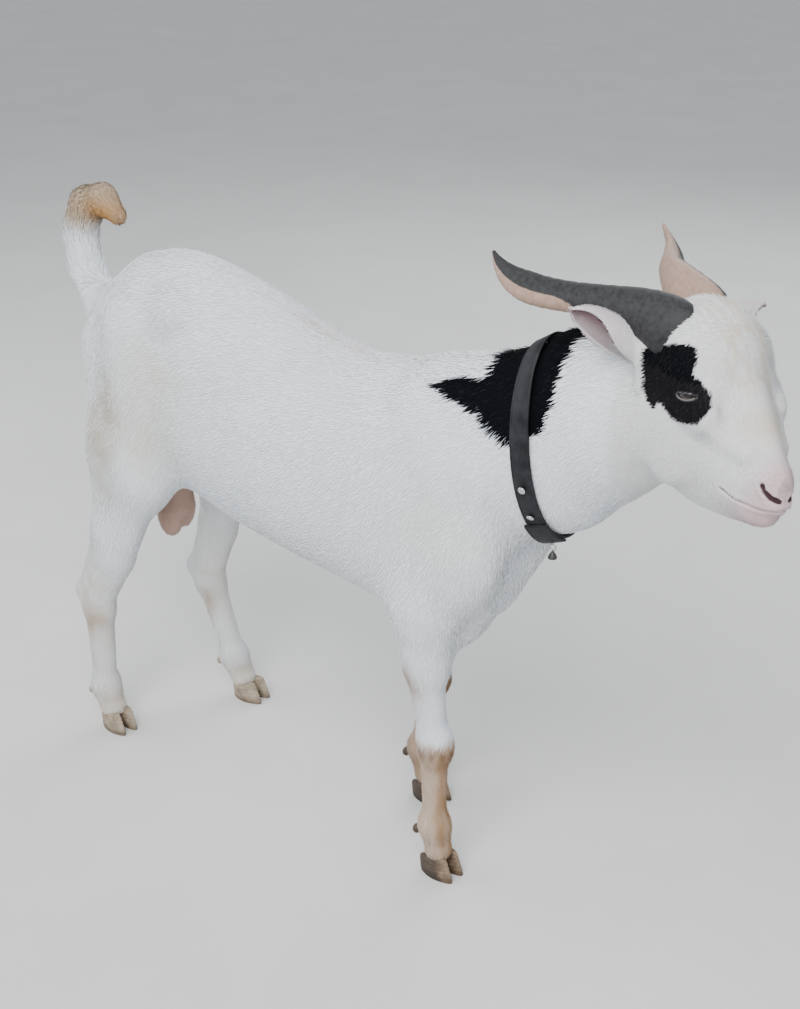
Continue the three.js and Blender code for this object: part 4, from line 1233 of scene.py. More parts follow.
def face_marks(colour, p, h):
    """The muzzle's bare skin, the nostrils, the lips, the eye's patch and the lids, with painted shade in
    the nostrils, along the mouth's crease and on the lids' inner edges.
    """
    x, y, z = h.T
    ay = np.abs(y)
    colour = blend(colour, FACE_WHITE, 0.9 * step(-235, -200, x))
    bridge = np.exp(-(((x + 52) / 30) ** 2) - ((z - 72) / 16) ** 2 - (y / 26) ** 2)
    colour = blend(colour, CREAM, 0.7 * bridge)
    wet = step(-165, -140, x) * step(-60, -85, x) * step(95, 120, z + 0.3 * x + 40) * step(34, 20, ay)
    strands = np.abs(noise(h * (0.25, 1, 0.25), 5, 51))
    colour = blend(colour, CREAM, wet * (0.7 - 1.2 * strands))
    colour = blend(colour, PINK, 0.85 * step(-60, -22, x - 0.25 * z + 2 * noise(p, 9, 21)))
    colour = blend(colour, PINK, 0.6 * step(6, -16, z) * step(-84, -50, x))
    colour = blend(colour, GREY, 0.45 * np.exp(-(((x + 84) / 7) ** 2) - ((z - 58) / 6) ** 2) * (y < 0))
    patch = inside(EYE_PATCH, x, z) + 0.3 * ragged(p, 5)
    dark = step(-0.8, 0.8, patch) * (y < -41)
    shade = np.where((z > 102)[:, None], BLACK, SOOT)
    colour = colour + (shade - colour) * dark[:, None]
    gap, cover = lid_place(h)
    rim = step(2.4, 1.2, gap) * step(3.5, 2.0, np.abs(cover + 0.4))
    colour = blend(colour, LID_GREY, 0.7 * rim)
    # Painted shade on the lids' inner edges, where they turn in against the eyeball.
    colour = blend(colour, LID_CREASE_SHADE, step(0.5, -0.3, gap) * step(6, 4, np.abs(cover)))
    # Painted shade for the nostril's hole: its slit, and the skin sunk deepest into it, painted near black.
    away, _ = to_curve(NOSTRIL, x, ay, z)
    sunk_shade = step(-1.2, -2.2, head_shape(x, y, z)) * step(7, 5, away)
    colour = blend(colour, NOSTRIL_SHADE, np.maximum(step(3.4, 2.4, away), sunk_shade))
    # Painted shade along the mouth's crease, darkest at its corner and fading towards the front.
    away, at = to_curve(MOUTH, x, ay, z)
    return blend(colour, MOUTH_CREASE_SHADE, np.interp(at, (0, 0.5, 1), (0.95, 0.5, 0.2)) * step(2.6, 0.8, away))


def leg_marks(colour, p):
    """Dirt on the forelegs from the knees down, and on the hind feet."""
    x, y, z = p.T
    streak = noise(p * (1, 1, 0.3), 6, 31)
    for leg in LEGS.values():
        if "knee" not in leg:
            continue
        at = np.interp(z, (0, leg["knee"][2]), (leg["hoof"][0], leg["knee"][0]))
        near = (np.abs(x - at) < 45) & (y * leg["side"] > 15) & (z < 300)
        within = 66 - y * leg["side"]
        ahead = step(-14, 10, 0.78 * (x - at) + 0.63 * within - 5 * noise(p, 16, 33))
        below = step(222, 202, z + 6 * streak)
        colour = blend(colour, SHIN, near * below * 0.9)
        colour = blend(colour, DIRT, near * below * (0.25 + 0.68 * ahead) * (0.85 + 0.35 * streak))
        knee = np.exp(-(((z - 198) / 12) ** 2))
        colour = blend(colour, DARK_DIRT, near * knee * (0.45 + 0.4 * streak))
        inner = step(8, 20, 0.78 * (x - at) + 0.63 * within) * step(200, 170, z) * step(90, 120, z)
        colour = blend(colour, DARK_DIRT, near * inner * (0.4 + 0.4 * streak))
        colour = blend(colour, DARK_DIRT, near * step(52, 30, z) * (0.35 + 0.3 * streak))
    hind_foot = step(74, 44, z + 4 * streak) * (x < -200)
    return blend(colour, CREAM, 0.6 * hind_foot)


def markings(p):
    """The coat's colour at places in the body's axes."""
    x, y, z = p.T
    h = to_head(p)
    colour = np.tile(WHITE, (len(p), 1)) * (1 + 0.025 * noise(p, 55) + 0.02 * noise(p, 14, 3))[:, None]
    colour = blend(colour, CREAM, 0.16 * (noise(p, 85, 1) + 0.25))
    ridge = step(-290, -240, x) * step(-70, -110, x) * step(9, 3, np.abs(y)) * (z > 640)
    colour = blend(colour, PINK, 0.5 * ridge * (0.6 + 0.7 * noise(p, 12, 9)))
    on_tail = (x < -540) & (z > 700)
    tan = step(722, 764, z + 0.1 * (x + 600) + 5 * noise(p, 14, 11)) * on_tail
    colour = blend(colour, TAIL_TAN, 0.85 * tan)
    orange = np.exp(-(((x + 578) / 34) ** 2) - ((z - 784) / 24) ** 2)
    colour = blend(colour, TAIL_ORANGE, 0.9 * orange * on_tail)
    bare = step(5, 1, scrotum(x, y, z)) * (z < 446)
    colour = blend(colour, BARE_TAN, 0.9 * bare)
    low = z < 320
    colour[low] = leg_marks(colour[low], p[low])
    for place, size, other, strength in STAINS:
        q = (p - place) / size
        colour = blend(colour, other, strength * np.exp(-np.sum(q * q, 1)) * (0.8 + 0.4 * noise(p, 18, 7)))
    front = h[:, 0] > HEAD_FROM
    on_ear, within = ear_share(h[front])
    patch = inside(NECK_PATCH, x, z) + ragged(p, 13)
    black = step(-1.2, 1.2, patch) * (h[:, 0] < -190)
    black[front] *= on_ear < 0.05
    colour = blend(colour, BLACK, black)
    face = np.flatnonzero(front)[(h[front, 0] > -215) & (on_ear < 0.5)]
    colour[face] = face_marks(colour[face], p[face], h[face])
    near = blend(colour[front], PINK, 0.45 * on_ear)
    # Inside the roll a darker pink: the ear's own skin, and painted shade in its hollow.
    colour[front] = blend(near, EAR_PINK_AND_SHADE, 0.9 * within)
    return colour


# ---------------------------------------------------- the lie of the coat
# Guides: a place on the right or left half, with Y outwards, and the way the hair lies there.
GUIDES = [
    ((-560, 30, 640), (-0.5, 0.2, -0.85)),
    ((-480, 90, 520), (-0.45, 0, -0.9)),
    ((-400, 80, 690), (-0.85, 0.3, -0.45)),
    ((-300, 110, 600), (-0.85, 0, -0.5)),
    ((-300, 50, 730), (-1, 0.25, -0.1)),
    ((-300, 60, 400), (-1, 0, -0.25)),
    ((-150, 112, 560), (-0.8, 0, -0.6)),
    ((-150, 50, 690), (-1, 0.25, -0.1)),
    ((-150, 60, 375), (-1, 0, -0.15)),
    ((0, 95, 580), (-0.6, 0, -0.8)),
    ((0, 30, 680), (-0.9, 0.3, -0.2)),
    ((80, 70, 480), (-0.35, 0, -0.95)),
    ((110, 0, 470), (0, 0.1, -1)),
    ((60, 0, 345), (-0.6, 0, -0.8)),
    ((150, 62, 640), (-0.7, 0, -0.7)),
    ((150, 0, 745), (-0.95, 0.15, -0.3)),
    ((180, 0, 530), (-0.5, 0, -0.85)),
    ((260, 50, 700), (-0.75, 0, -0.65)),
    ((10, 66, 300), (0, 0, -1)),
    ((0, 66, 100), (0, 0, -1)),
    ((-500, 92, 340), (-0.25, 0, -1)),
    ((-540, 92, 100), (0, 0, -1)),
]
WHORL = (-118, 0, 152)  # on the forehead: the hair spreads from it down the face and back over the poll


def side_on(p):
    return np.where(p[:, 1] < 0, -1, 1)


def tail_axis(p):
    """The tail's direction nearest to each place, and how far the place is from it and along it."""
    joints = np.array([at for at, _ in TAIL], float)
    away, at = to_curve([at for at, _ in TAIL], *p.T)
    first = np.clip((at * (len(joints) - 1)).astype(int), 0, len(joints) - 2)
    return unit(joints[first + 1] - joints[first]), away, at


def lie(p, normal):
    """The unit direction in which the hair lies, along the skin."""
    side = side_on(p)
    half = np.stack([p[:, 0], np.abs(p[:, 1]), p[:, 2]], 1)
    total = np.zeros_like(p)
    for place, way in GUIDES:
        weight = 1 / (np.sum((half - place) ** 2, 1) + 400) ** 2
        total += weight[:, None] * unit(way)
    way = unit(total) * np.stack([np.ones(len(p)), side, np.ones(len(p))], 1)
    h = to_head(p)
    spread = unit(h - WHORL)
    jaw = step(-50, -120, h[:, 0]) * step(100, 50, h[:, 2])
    spread = unit(spread + jaw[:, None] * np.array((-1.0, 0, -0.3)))
    on_head = step(-230, -185, h[:, 0]) * (p[:, 2] > HEAD_ABOVE)
    way = unit(way * (1 - on_head)[:, None] + (spread @ HEAD_TURN.T) * on_head[:, None])
    for ear_side in BOTH:
        along = ear_axes(ear_side)[1]
        s, _, r, radius, _, _ = ear_place(ear_side, *h.T)
        on_ear = step(-0.1, 0.25, s) * (r < radius + 8) * (s < 1.2)
        way = unit(way * (1 - on_ear)[:, None] + (along @ HEAD_TURN.T) * on_ear[:, None])
    axis, away, at = tail_axis(p)
    on_tail = step(48, 32, away) * step(0.02, 0.2, at) * (p[:, 0] < -520)
    way = unit(way * (1 - on_tail)[:, None] + axis * on_tail[:, None])
    return unit(way - normal * np.sum(way * normal, 1)[:, None])


# ---------------------------------------------------- the coat
# Each piece: spacing between tufts, their length and width, and how far their tips stand out.
HALVES = ("_right", "_left")
COATS = {
    f"coat_{name}{half}": dict(spacing=spacing, length=length, width=width, lean=lean)
    for name, halves, spacing, length, width, lean in (
        ("head", ("",), 2.3, 5, 1.15, 0.15),
        ("ears", ("",), 2.5, 5, 1.1, 0.2),
        ("neck", HALVES, 2.9, 12, 1.5, 0.22),
        ("shoulder", HALVES, 3.0, 10, 1.4, 0.1),
        ("barrel", HALVES, 3.2, 10, 1.4, 0.08),
        ("rump", HALVES, 3.1, 10, 1.4, 0.1),
        ("fore_legs", ("",), 2.6, 7, 1.3, 0.2),
        ("hind_legs", ("",), 2.6, 7, 1.3, 0.2),
        ("tail", ("",), 2.6, 20, 1.7, 1.4),
    )
    for half in halves
}
COAT_NAMES = list(COATS)


def coat_of(p):
    """Which coat piece each place belongs to, by its number."""
    x, y, z = p.T
    h = to_head(p)
    side = (y > 0).astype(int)
    name = COAT_NAMES.index
    found = name("coat_barrel_right") + side
    found = np.where(x < -345, name("coat_rump_right") + side, found)
    found = np.where(x > -70, name("coat_shoulder_right") + side, found)
    cut = (x - 86) * 0.975 + (z - 700) * 0.223  # the neck's root
    found = np.where((cut > 0) & (z > 400), name("coat_neck_right") + side, found)
    found = np.where((z < 300) & (x > -200), name("coat_fore_legs"), found)
    found = np.where((z < 330) & (x < -300), name("coat_hind_legs"), found)
    found = np.where((h[:, 0] > -212) & (z > HEAD_ABOVE), name("coat_head"), found)
    ear = (h[:, 0] > HEAD_FROM) & (np.abs(h[:, 1]) > 59) & (h[:, 2] > 80)
    found = np.where(ear, name("coat_ears"), found)
    _, away, at = tail_axis(p)
    return np.where((away < 42) & (at > 0.08) & (x < -540), name("coat_tail"), found)


def triangles_of(mesh):
    """A mesh's triangles and the places and slopes of its corners, in the body's axes."""
    mesh.calc_loop_triangles()
    corners = np.empty(len(mesh.loop_triangles) * 3, np.int32)
    mesh.loop_triangles.foreach_get("vertices", corners)
    places = np.empty(len(mesh.vertices) * 3, np.float32)
    mesh.vertices.foreach_get("co", places)
    normals = np.empty(len(mesh.vertices) * 3, np.float32)
    mesh.vertex_normals.foreach_get("vector", normals)
    places = places.reshape(-1, 3).astype(float) * 1000 - SHIFT
    return corners.reshape(-1, 3), places, normals.reshape(-1, 3).astype(float)


def scatter(mesh, rng):
    """Seeded places all over a mesh, one to each small cube of space, with the skin's slope at each."""
    corners, points, normals = triangles_of(mesh)
    a, b, c = points[corners[:, 0]], points[corners[:, 1]], points[corners[:, 2]]
    area = np.linalg.norm(np.cross(b - a, c - a), axis=1) / 2
    which = coat_of((a + b + c) / 3)
    spacing = np.array([coat["spacing"] for coat in COATS.values()])[which]
    count = rng.poisson(area / spacing**2 * 2.4)
    home = np.repeat(np.arange(len(area)), count)
    home = rng.permutation(home)
    u, v = rng.random(len(home)), rng.random(len(home))
    over = u + v > 1
    u[over], v[over] = 1 - u[over], 1 - v[over]
    share = np.stack([1 - u - v, u, v], 1)
    at = np.einsum("ij,ijk->ik", share, points[corners[home]])
    normal = unit(np.einsum("ij,ijk->ik", share, normals[corners[home]]))
    which, spacing = which[home], spacing[home]
    cell = np.floor(at / spacing[:, None] + rng.random(3)).astype(np.int64)
    key = ((cell[:, 0] * 4096 + cell[:, 1]) * 4096 + cell[:, 2]) * 16 + which
    _, first = np.unique(key, return_index=True)
    return at[first], normal[first], which[first]


def bare(p):
    """Places without tufts: eyes, nostrils, lips, and under the horns, the strap and the claws."""
    h = to_head(p)
    none = np.zeros(len(p), bool)
    front = h[:, 0] > HEAD_FROM
    q = h[front]
    ay = np.abs(q[:, 1])
    gap, cover = lid_place(q)
    hidden = (gap < 2.2) & (np.abs(cover) < 8)
    hidden |= to_curve(NOSTRIL, q[:, 0], ay, q[:, 2])[0] < 5.6
    hidden |= to_curve(MOUTH, q[:, 0], ay, q[:, 2])[0] < 2.8
    for side in BOTH:
        path = [(x, side * y, z) for x, y, z in HORN_PATH[side]]
        t = np.linspace(0, 0.35, 12)
        at, _ = bezier(path, t)
        _, half, _ = table_at(HORN_SECTION, t)
        for centre, size in zip(at, half):
            hidden |= np.linalg.norm(q - centre, axis=1) < size * 0.9
    none[front] = hidden
    across = (p - COLLAR["centre"]) @ neck_axes()[1]
    none |= (np.abs(across) < COLLAR["width"] / 2 - 4) & (p[:, 2] > 480) & (p[:, 0] < 320)
    for leg in LEGS.values():
        foot = (np.hypot(p[:, 0] - leg["hoof"][0], p[:, 1] - leg["hoof"][1]) < 60) & (p[:, 2] < 70)
        none |= foot & (coronet_above(leg, p[:, 0], p[:, 2]) > -2)
    return none


def tuft_sizes(p, which, rng):
    """Each tuft's length, width and the height of its tip over the flat coat."""
    x, y, z = p.T
    h = to_head(p)
    kinds = list(COATS.values())
    length, width, lean = (np.array([coat[k] for coat in kinds])[which] for k in ("length", "width", "lean"))
    muzzle = step(-75, -25, h[:, 0]) * (z > HEAD_ABOVE)
    length = length * (1 - 0.5 * muzzle)
    lips = (h[:, 0] > -90) & (z > HEAD_ABOVE) & (to_curve(MOUTH, h[:, 0], np.abs(h[:, 1]), h[:, 2])[0] < 9)
    length = length * (1 - 0.3 * lips)
    width = width * (1 - 0.3 * lips)
    end = to_curve([TAIL[-2][0], TAIL[-1][0]], x, y, z)[0] < 40
    length = length * (1 - 0.5 * end)
    lean = lean * (1 - 0.6 * end)
    poll = step(-125, -170, h[:, 0]) * step(118, 138, h[:, 2]) * (np.abs(h[:, 1]) < 40)
    length = length * (1 + 0.8 * poll)
    ridge = (z > 640) * (x < 80) * (x > -560) * step(14, 4, np.abs(y))
    crest = step(70, 110, x) * step(22, 8, np.abs(y)) * (z > 690)
    breech = step(-560, -585, x) * (z > 330) * (z < 640)
    pastern = step(96, 78, z) * step(52, 66, z)
    edge = np.abs(inside(NECK_PATCH, x, z)) < 9
    lean = lean + 1.5 * ridge + 1.6 * crest + 1.2 * breech + 0.9 * pastern + 0.9 * edge + 0.6 * poll
    length = length * (1 + 0.35 * crest + 0.25 * breech + 0.4 * pastern + 0.2 * edge)
    skin_bare = step(6, 2, scrotum(x, y, z)) * (z < 446)
    length = length * (1 - 0.6 * skin_bare)
    width = width * (1 - 0.35 * skin_bare)
    n = len(p)
    return (
        length * rng.uniform(0.72, 1.2, n),
        width * rng.uniform(0.75, 1.2, n),
        lean * rng.uniform(0.1, 1.6, n) ** 1.5,
    )


def lifted(q, normal, height):
    """Places brought to a height over the skin, along their tuft's own upward line."""
    for _ in range(2):
        q = q + normal * np.clip(height - skin_field(*q.T), -4, 4)[:, None]
    return q


TUFT_FACES = [
    (2, 5, 4), (2, 4, 1), (0, 3, 5), (0, 5, 2), (0, 1, 4),
    (0, 4, 3), (5, 6, 4), (3, 6, 5), (3, 4, 6), (0, 2, 1),
]  # corners: right, left and ridge of the root, the same of the middle, and the tip


def tufts(p, normal, which, rng):
    """Seven corners for each tuft, their soft normals, and a colour for each."""
    length, width, lean = tuft_sizes(p, which, rng)
    way = lie(p, normal)
    swing = np.radians(rng.normal(0, 7, len(p)) + 9 * noise(p, 26, 41))
    aside = np.cross(normal, way)
    way = way * np.cos(swing)[:, None] + aside * np.sin(swing)[:, None]
    aside = np.cross(normal, way)
    depth = coat_depth(*p.T)
    middle = lifted(p + way * (length * 0.5)[:, None], normal, depth * 0.72 + lean * 0.35)
    tip = lifted(p + way * length[:, None], normal, depth * 0.92 + lean)
    half = (width / 2)[:, None]
    ridge = normal * (0.1 + 0.15 * half)
    root = p - normal * 0.25
    wide = aside * half
    corners = np.stack(
        [
            root - wide * 0.8,
            root + wide * 0.8,
            root + ridge * 2,
            middle - wide,
            middle + wide,
            middle + ridge,
            tip,
        ],
        1,
    )
    soft_side = aside * 0.18
    pair = [normal - soft_side, normal + soft_side, normal]
    normals = np.stack([*pair, *pair, normal], 1)
    own = 1 + 0.035 * rng.normal(0, 1, len(p))[:, None]
    colour = markings(p) * np.clip(own, 0.9, 1.06)
    # Painted shade and light along each tuft: its root corners darker where tufts overlap, its tip a little
    # lighter.
    shade = np.array((0.93, 0.93, 0.93, 0.975, 0.975, 1.0, 1.02))
    return corners, unit(normals), np.clip(colour[:, None] * shade[:, None], 0, 1)


def chart(name, p):
    """Where places of a coat piece lie on the unrolled skin, from 0 to 1 both ways."""
    x, y, z = p.T
    h = to_head(p)
    if name == "coat_head":
        turn = np.arctan2(h[:, 1], h[:, 2] - 45) / (2 * math.pi) + 0.5
        along = (h[:, 0] + 225) / 235
    elif name == "coat_ears":
        s, turn, r, radius, _, thick = ear_place(RIGHT, *h.T)
        other = ear_place(LEFT, *h.T)
        left = h[:, 1] > 0
        s, turn = np.where(left, other[0], s), np.where(left, other[1], turn)
        within = np.where(left, other[2] < other[3] - other[5] / 2, r < radius - thick / 2)
        turn, along = (turn / (2 * math.pi) + 0.5 + left + 2 * within) / 4, s / 1.1
    elif name == "coat_tail":
        axis, _, along = tail_axis(p)
        turn = np.arctan2(y - 3, (x + 600) * axis[:, 2] - (z - 730) * axis[:, 0]) / (2 * math.pi) + 0.5
    elif name.endswith("legs"):
        left, fore = y > 0, name.startswith("coat_fore")
        knots = [("fore_left", "fore_right"), ("hind_left", "hind_right")][0 if fore else 1]
        middle = "knee" if fore else "hock"
        top = "elbow" if fore else "stifle"
        at = [
            np.interp(z, (0, leg[middle][2], 400), (leg["hoof"][0], leg[middle][0], leg[top][0]))
            for leg in (LEGS[k] for k in knots)
        ]
        turn = np.arctan2(np.abs(y) - 78, x - np.where(left, *at)) / (2 * math.pi) + 0.5
        turn, along = (turn + left) / 2, z / 340
    elif name.startswith("coat_neck"):
        turn = np.arctan2(y, z - 0.45 * x - 560) / (2 * math.pi) + 0.5
        along = (x * 0.8 + z * 0.5 - 250) / 420
    else:
        turn = np.arctan2(y, z - 560) / (2 * math.pi) + 0.5
        along = (x + 640) / 800
    return np.stack([0.004 + 0.992 * np.clip(turn, 0, 1), 0.004 + 0.992 * np.clip(along, 0, 1)], 1)


# A tuft's own patch of the unrolled skin, 0.003 across, corner by corner.
PATCH = 0.0005 * np.array(((-3, -3), (3, -3), (0, -3), (-3, 1), (3, 1), (0, 1), (0, 3)))


def coat_mesh(name, p, corners, normals, colours):
    """One joined mesh of tufts, with their soft normals and their places on the unrolled skin."""
    count = len(p)
    faces = (np.array(TUFT_FACES)[None] + 7 * np.arange(count)[:, None, None]).reshape(-1, 3)
    mesh = mesh_from(name, corners.reshape(-1, 3), faces)
    mesh.normals_split_custom_set_from_vertices(normals.reshape(-1, 3).tolist())
    per_vertex(mesh, "coat", colours.reshape(-1, 3))
    where = (chart(name, p)[:, None] + PATCH).reshape(-1, 2)
    corner = np.empty(len(mesh.loops), np.int32)
    mesh.loops.foreach_get("vertex_index", corner)
    mesh.uv_layers.new(name="OFBake").data.foreach_set("uv", where[corner].astype(np.float32).ravel())
    return mesh


def grow_coat(skin, material):
    rng = np.random.default_rng(20)
    p, normal, which = scatter(skin, rng)
    kept = ~bare(p)
    p, normal, which = p[kept], normal[kept], which[kept]
    corners, normals, colours = tufts(p, normal, which, rng)
    for number, name in enumerate(COAT_NAMES):
        own = which == number
        mesh = coat_mesh(name, p[own], corners[own], normals[own], colours[own])
        show(mesh, material)
        print(name, own.sum() * len(TUFT_FACES), "triangles")


# ---------------------------------------------------- materials
class Paint:
    """A material's nodes, made and joined one at a time."""

    def __init__(self, name, **settings):
        self.material = bpy.data.materials.new(name)
        self.material.use_nodes = True
        self.tree = self.material.node_tree
        self.shader = self.tree.nodes["Principled BSDF"]
        for socket, value in settings.items():
            self.shader.inputs[socket.replace("_", " ")].default_value = value

    def node(self, kind, **inputs):
        made = self.tree.nodes.new("ShaderNode" + kind)
        for socket, value in inputs.items():
            self.feed(value, made.inputs[socket.replace("_", " ")])
        return made

    def feed(self, value, socket):
        if isinstance(value, bpy.types.NodeSocket):
            self.tree.links.new(value, socket)
        else:
            socket.default_value = value

    def stored(self, name):
        made = self.tree.nodes.new("ShaderNodeAttribute")
        made.attribute_name = name
        return made

    def noise(self, vector, scale, detail=2.0, rough=0.5):
        made = self.node("TexNoise", Vector=vector, Scale=scale, Detail=detail, Roughness=rough)
        return made.outputs[0]

    def place(self, scale=(1, 1, 1)):
        """The place on the piece, in metres, stretched by a scale."""
        made = self.node("Mapping", Vector=self.node("TexCoord").outputs["Object"])
        made.inputs["Scale"].default_value = scale
        return made.outputs[0]

    def math(self, work, *values):
        made = self.tree.nodes.new("ShaderNodeMath")
        made.operation = work
        for value, socket in zip(values, made.inputs):
            self.feed(value, socket)
        return made.outputs[0]

    def ramp(self, value, *stops):
        """A colour that changes with a value: stops are each a place and a colour."""
        made = self.tree.nodes.new("ShaderNodeValToRGB")
        self.feed(value, made.inputs[0])
        ends = made.color_ramp.elements
        while len(ends) < len(stops):
            ends.new(0.5)
        for end, (at, colour) in zip(ends, stops):
            end.position = at
            end.color = (*colour, 1)
        return made.outputs[0]

    def mix(self, share, first, second, way="MIX"):
        made = self.tree.nodes.new("ShaderNodeMix")
        made.data_type = "RGBA"
        made.blend_type = way
        for value, number in ((share, 0), (first, 6), (second, 7)):
            self.feed((*value, 1) if isinstance(value, tuple) else value, made.inputs[number])
        return made.outputs[2]

    def bump(self, height, strength, distance):
        made = self.node("Bump", Strength=strength, Distance=distance, Height=height)
        self.tree.links.new(made.outputs[0], self.shader.inputs["Normal"])

    def colour(self, value):
        self.feed(value, self.shader.inputs["Base Color"])

    def roughness(self, value):
        self.feed(value, self.shader.inputs["Roughness"])


def hair_paint():
    """The tufts: each has its own colour, with painted shade at its root and painted light at its tip,
    mottled a little along its length.
    """
    paint = Paint("white_coat", Roughness=0.85, Specular_IOR_Level=0.06)
    fine = paint.noise(paint.place(), 900, 2)
    tone = paint.ramp(fine, (0.3, (0.9, 0.9, 0.9)), (0.7, (1, 1, 1)))
    paint.colour(paint.mix(1.0, paint.stored("coat").outputs["Color"], tone, "MULTIPLY"))
    return paint.material


def skin_paint():
    """The skin under the tufts: the same markings over fine short hair, shown by bump."""
    paint = Paint("skin", Roughness=0.7, Specular_IOR_Level=0.12)
    fine = paint.noise(paint.place((1, 1.6, 0.7)), 700, 4, 0.6)
    broad = paint.noise(paint.place(), 130, 3)
    tone = paint.ramp(fine, (0.25, (0.86, 0.86, 0.86)), (0.75, (1, 1, 1)))
    paint.colour(paint.mix(1.0, paint.stored("coat").outputs["Color"], tone, "MULTIPLY"))
    paint.bump(paint.math("MULTIPLY_ADD", broad, 0.5, fine), 0.35, 0.0006)
    return paint.material


def horn_paint():
    """Dark outer and upper faces, tan lower and inner ones, with grooves along and rings round."""
    paint = Paint("horn", Specular_IOR_Level=0.3)
    at = paint.node("SeparateXYZ", Vector=paint.stored("place").outputs["Vector"])
    along, up, aside = at.outputs
    wander = paint.math("MULTIPLY_ADD", paint.noise(paint.place(), 45, 4, 0.6), 0.5, -0.25)
    outer = paint.math("ADD", paint.math("MULTIPLY", up, 0.3), paint.math("MULTIPLY", aside, 0.9))
    outer = paint.math("ADD", outer, wander)
    rooted = paint.math("MULTIPLY", paint.math("SUBTRACT", 0.14, along), 2.0)
    outer = paint.math("ADD", outer, paint.math("MAXIMUM", rooted, 0.0))
    dark = paint.ramp(outer, (0.02, (0, 0, 0)), (0.22, (1, 1, 1)))
    streak = paint.noise(paint.place((1, 1, 1)), 190, 5, 0.65)
    grey = paint.ramp(streak, (0.3, (0.009, 0.0095, 0.011)), (0.72, (0.036, 0.036, 0.038)))
    tan = paint.ramp(streak, (0.25, (0.245, 0.16, 0.12)), (0.75, (0.38, 0.27, 0.215)))
    paint.colour(paint.mix(dark, tan, grey))
    paint.roughness(paint.ramp(streak, (0.3, (0.5, 0.5, 0.5)), (0.7, (0.7, 0.7, 0.7))))
    paint.bump(streak, 0.3, 0.0008)
    return paint.material


def eye_paint():
    """A dark amber iris with a level, slot-shaped pupil, in a brown eyeball; both are darkened partly as
    painted shade over the eye.
    """
    paint = Paint("eye", Roughness=0.06, Coat_Weight=0.8, Coat_Roughness=0.02)
    at = paint.node("SeparateXYZ", Vector=paint.stored("place").outputs["Vector"])
    along, up, _ = at.outputs
    square = paint.math("ADD", paint.math("MULTIPLY", along, along), paint.math("MULTIPLY", up, up))
    out = paint.math("SQRT", square)
    fibre = paint.noise(paint.place(), 1600, 3, 0.7)
    # The iris and the eyeball painted dark: partly their own colours, partly painted shade over the eye.
    amber = paint.ramp(fibre, (0.3, (0.03, 0.019, 0.01)), (0.7, (0.085, 0.052, 0.024)))
    iris = paint.ramp(out, (0.62, (1, 1, 1)), (0.68, (0, 0, 0)))
    level = paint.math("MULTIPLY", up, 2.9)
    slot = paint.math("MAXIMUM", paint.math("ABSOLUTE", along), paint.math("ABSOLUTE", level))
    pupil = paint.ramp(slot, (0.4, (1, 1, 1)), (0.46, (0, 0, 0)))
    colour = paint.mix(iris, (0.06, 0.045, 0.038), amber)
    paint.colour(paint.mix(pupil, colour, (0.003, 0.003, 0.004)))
    paint.bump(fibre, 0.05, 0.0001)
    return paint.material


def hoof_paint(name, dark, pale, front):
    """Worn horn with growth lines level with the floor, a darker rim below and its own colour in front."""
    paint = Paint(name)
    lines = paint.noise(paint.place((60, 60, 900)), 1.0, 3, 0.6)
    patchy = paint.noise(paint.place(), 90, 4, 0.6)
    grain = paint.ramp(lines, (0.3, dark), (0.7, pale))
    ahead = paint.node("SeparateXYZ", Vector=paint.stored("place").outputs["Vector"]).outputs[0]
    toe = paint.math("MULTIPLY_ADD", patchy, 0.5, paint.math("MULTIPLY", ahead, 0.02))
    grain = paint.mix(paint.ramp(toe, (0.3, (0, 0, 0)), (0.6, (1, 1, 1))), grain, front)
    height = paint.node("SeparateXYZ", Vector=paint.node("TexCoord").outputs["Object"]).outputs[2]
    rim = paint.ramp(paint.math("MULTIPLY", height, 60.0), (0.12, (0.4, 0.36, 0.33)), (0.75, (1, 1, 1)))
    mottle = paint.ramp(patchy, (0.35, (0.6, 0.58, 0.55)), (0.65, (1, 1, 1)))
    worn = paint.mix(1.0, grain, rim, "MULTIPLY")
    paint.colour(paint.mix(1.0, worn, mottle, "MULTIPLY"))
    paint.roughness(paint.ramp(patchy, (0.3, (0.5, 0.5, 0.5)), (0.7, (0.78, 0.78, 0.78))))
    paint.bump(lines, 0.35, 0.0006)
    return paint.material


def leather_paint():
    paint = Paint("strap", Specular_IOR_Level=0.2)
    grain = paint.noise(paint.place(), 1400, 4, 0.6)
    wear = paint.noise(paint.place(), 60, 3, 0.6)
    worn = paint.ramp(wear, (0.4, (0.008, 0.009, 0.011)), (0.75, (0.026, 0.026, 0.03)))
    paint.colour(worn)
    paint.roughness(paint.ramp(wear, (0.3, (0.42, 0.42, 0.42)), (0.7, (0.66, 0.66, 0.66))))
    paint.bump(grain, 0.3, 0.0003)
    return paint.material


def metal_paint(name, low, high, rough_low, rough_high, metallic):
    paint = Paint(name, Metallic=metallic)
    scuff = paint.noise(paint.place(), 700, 4, 0.65)
    paint.colour(paint.ramp(scuff, (0.3, low), (0.7, high)))
    paint.roughness(paint.ramp(scuff, (0.3, (rough_low,) * 3), (0.7, (rough_high,) * 3)))
    paint.bump(scuff, 0.12, 0.0002)
    return paint.material


def floor_paint():
    paint = Paint("floor", Roughness=0.9)
    speck = paint.noise(paint.place(), 3, 3, 0.6)
    paint.colour(paint.ramp(speck, (0.3, (0.60, 0.595, 0.585)), (0.7, (0.64, 0.635, 0.625))))
    return paint.material


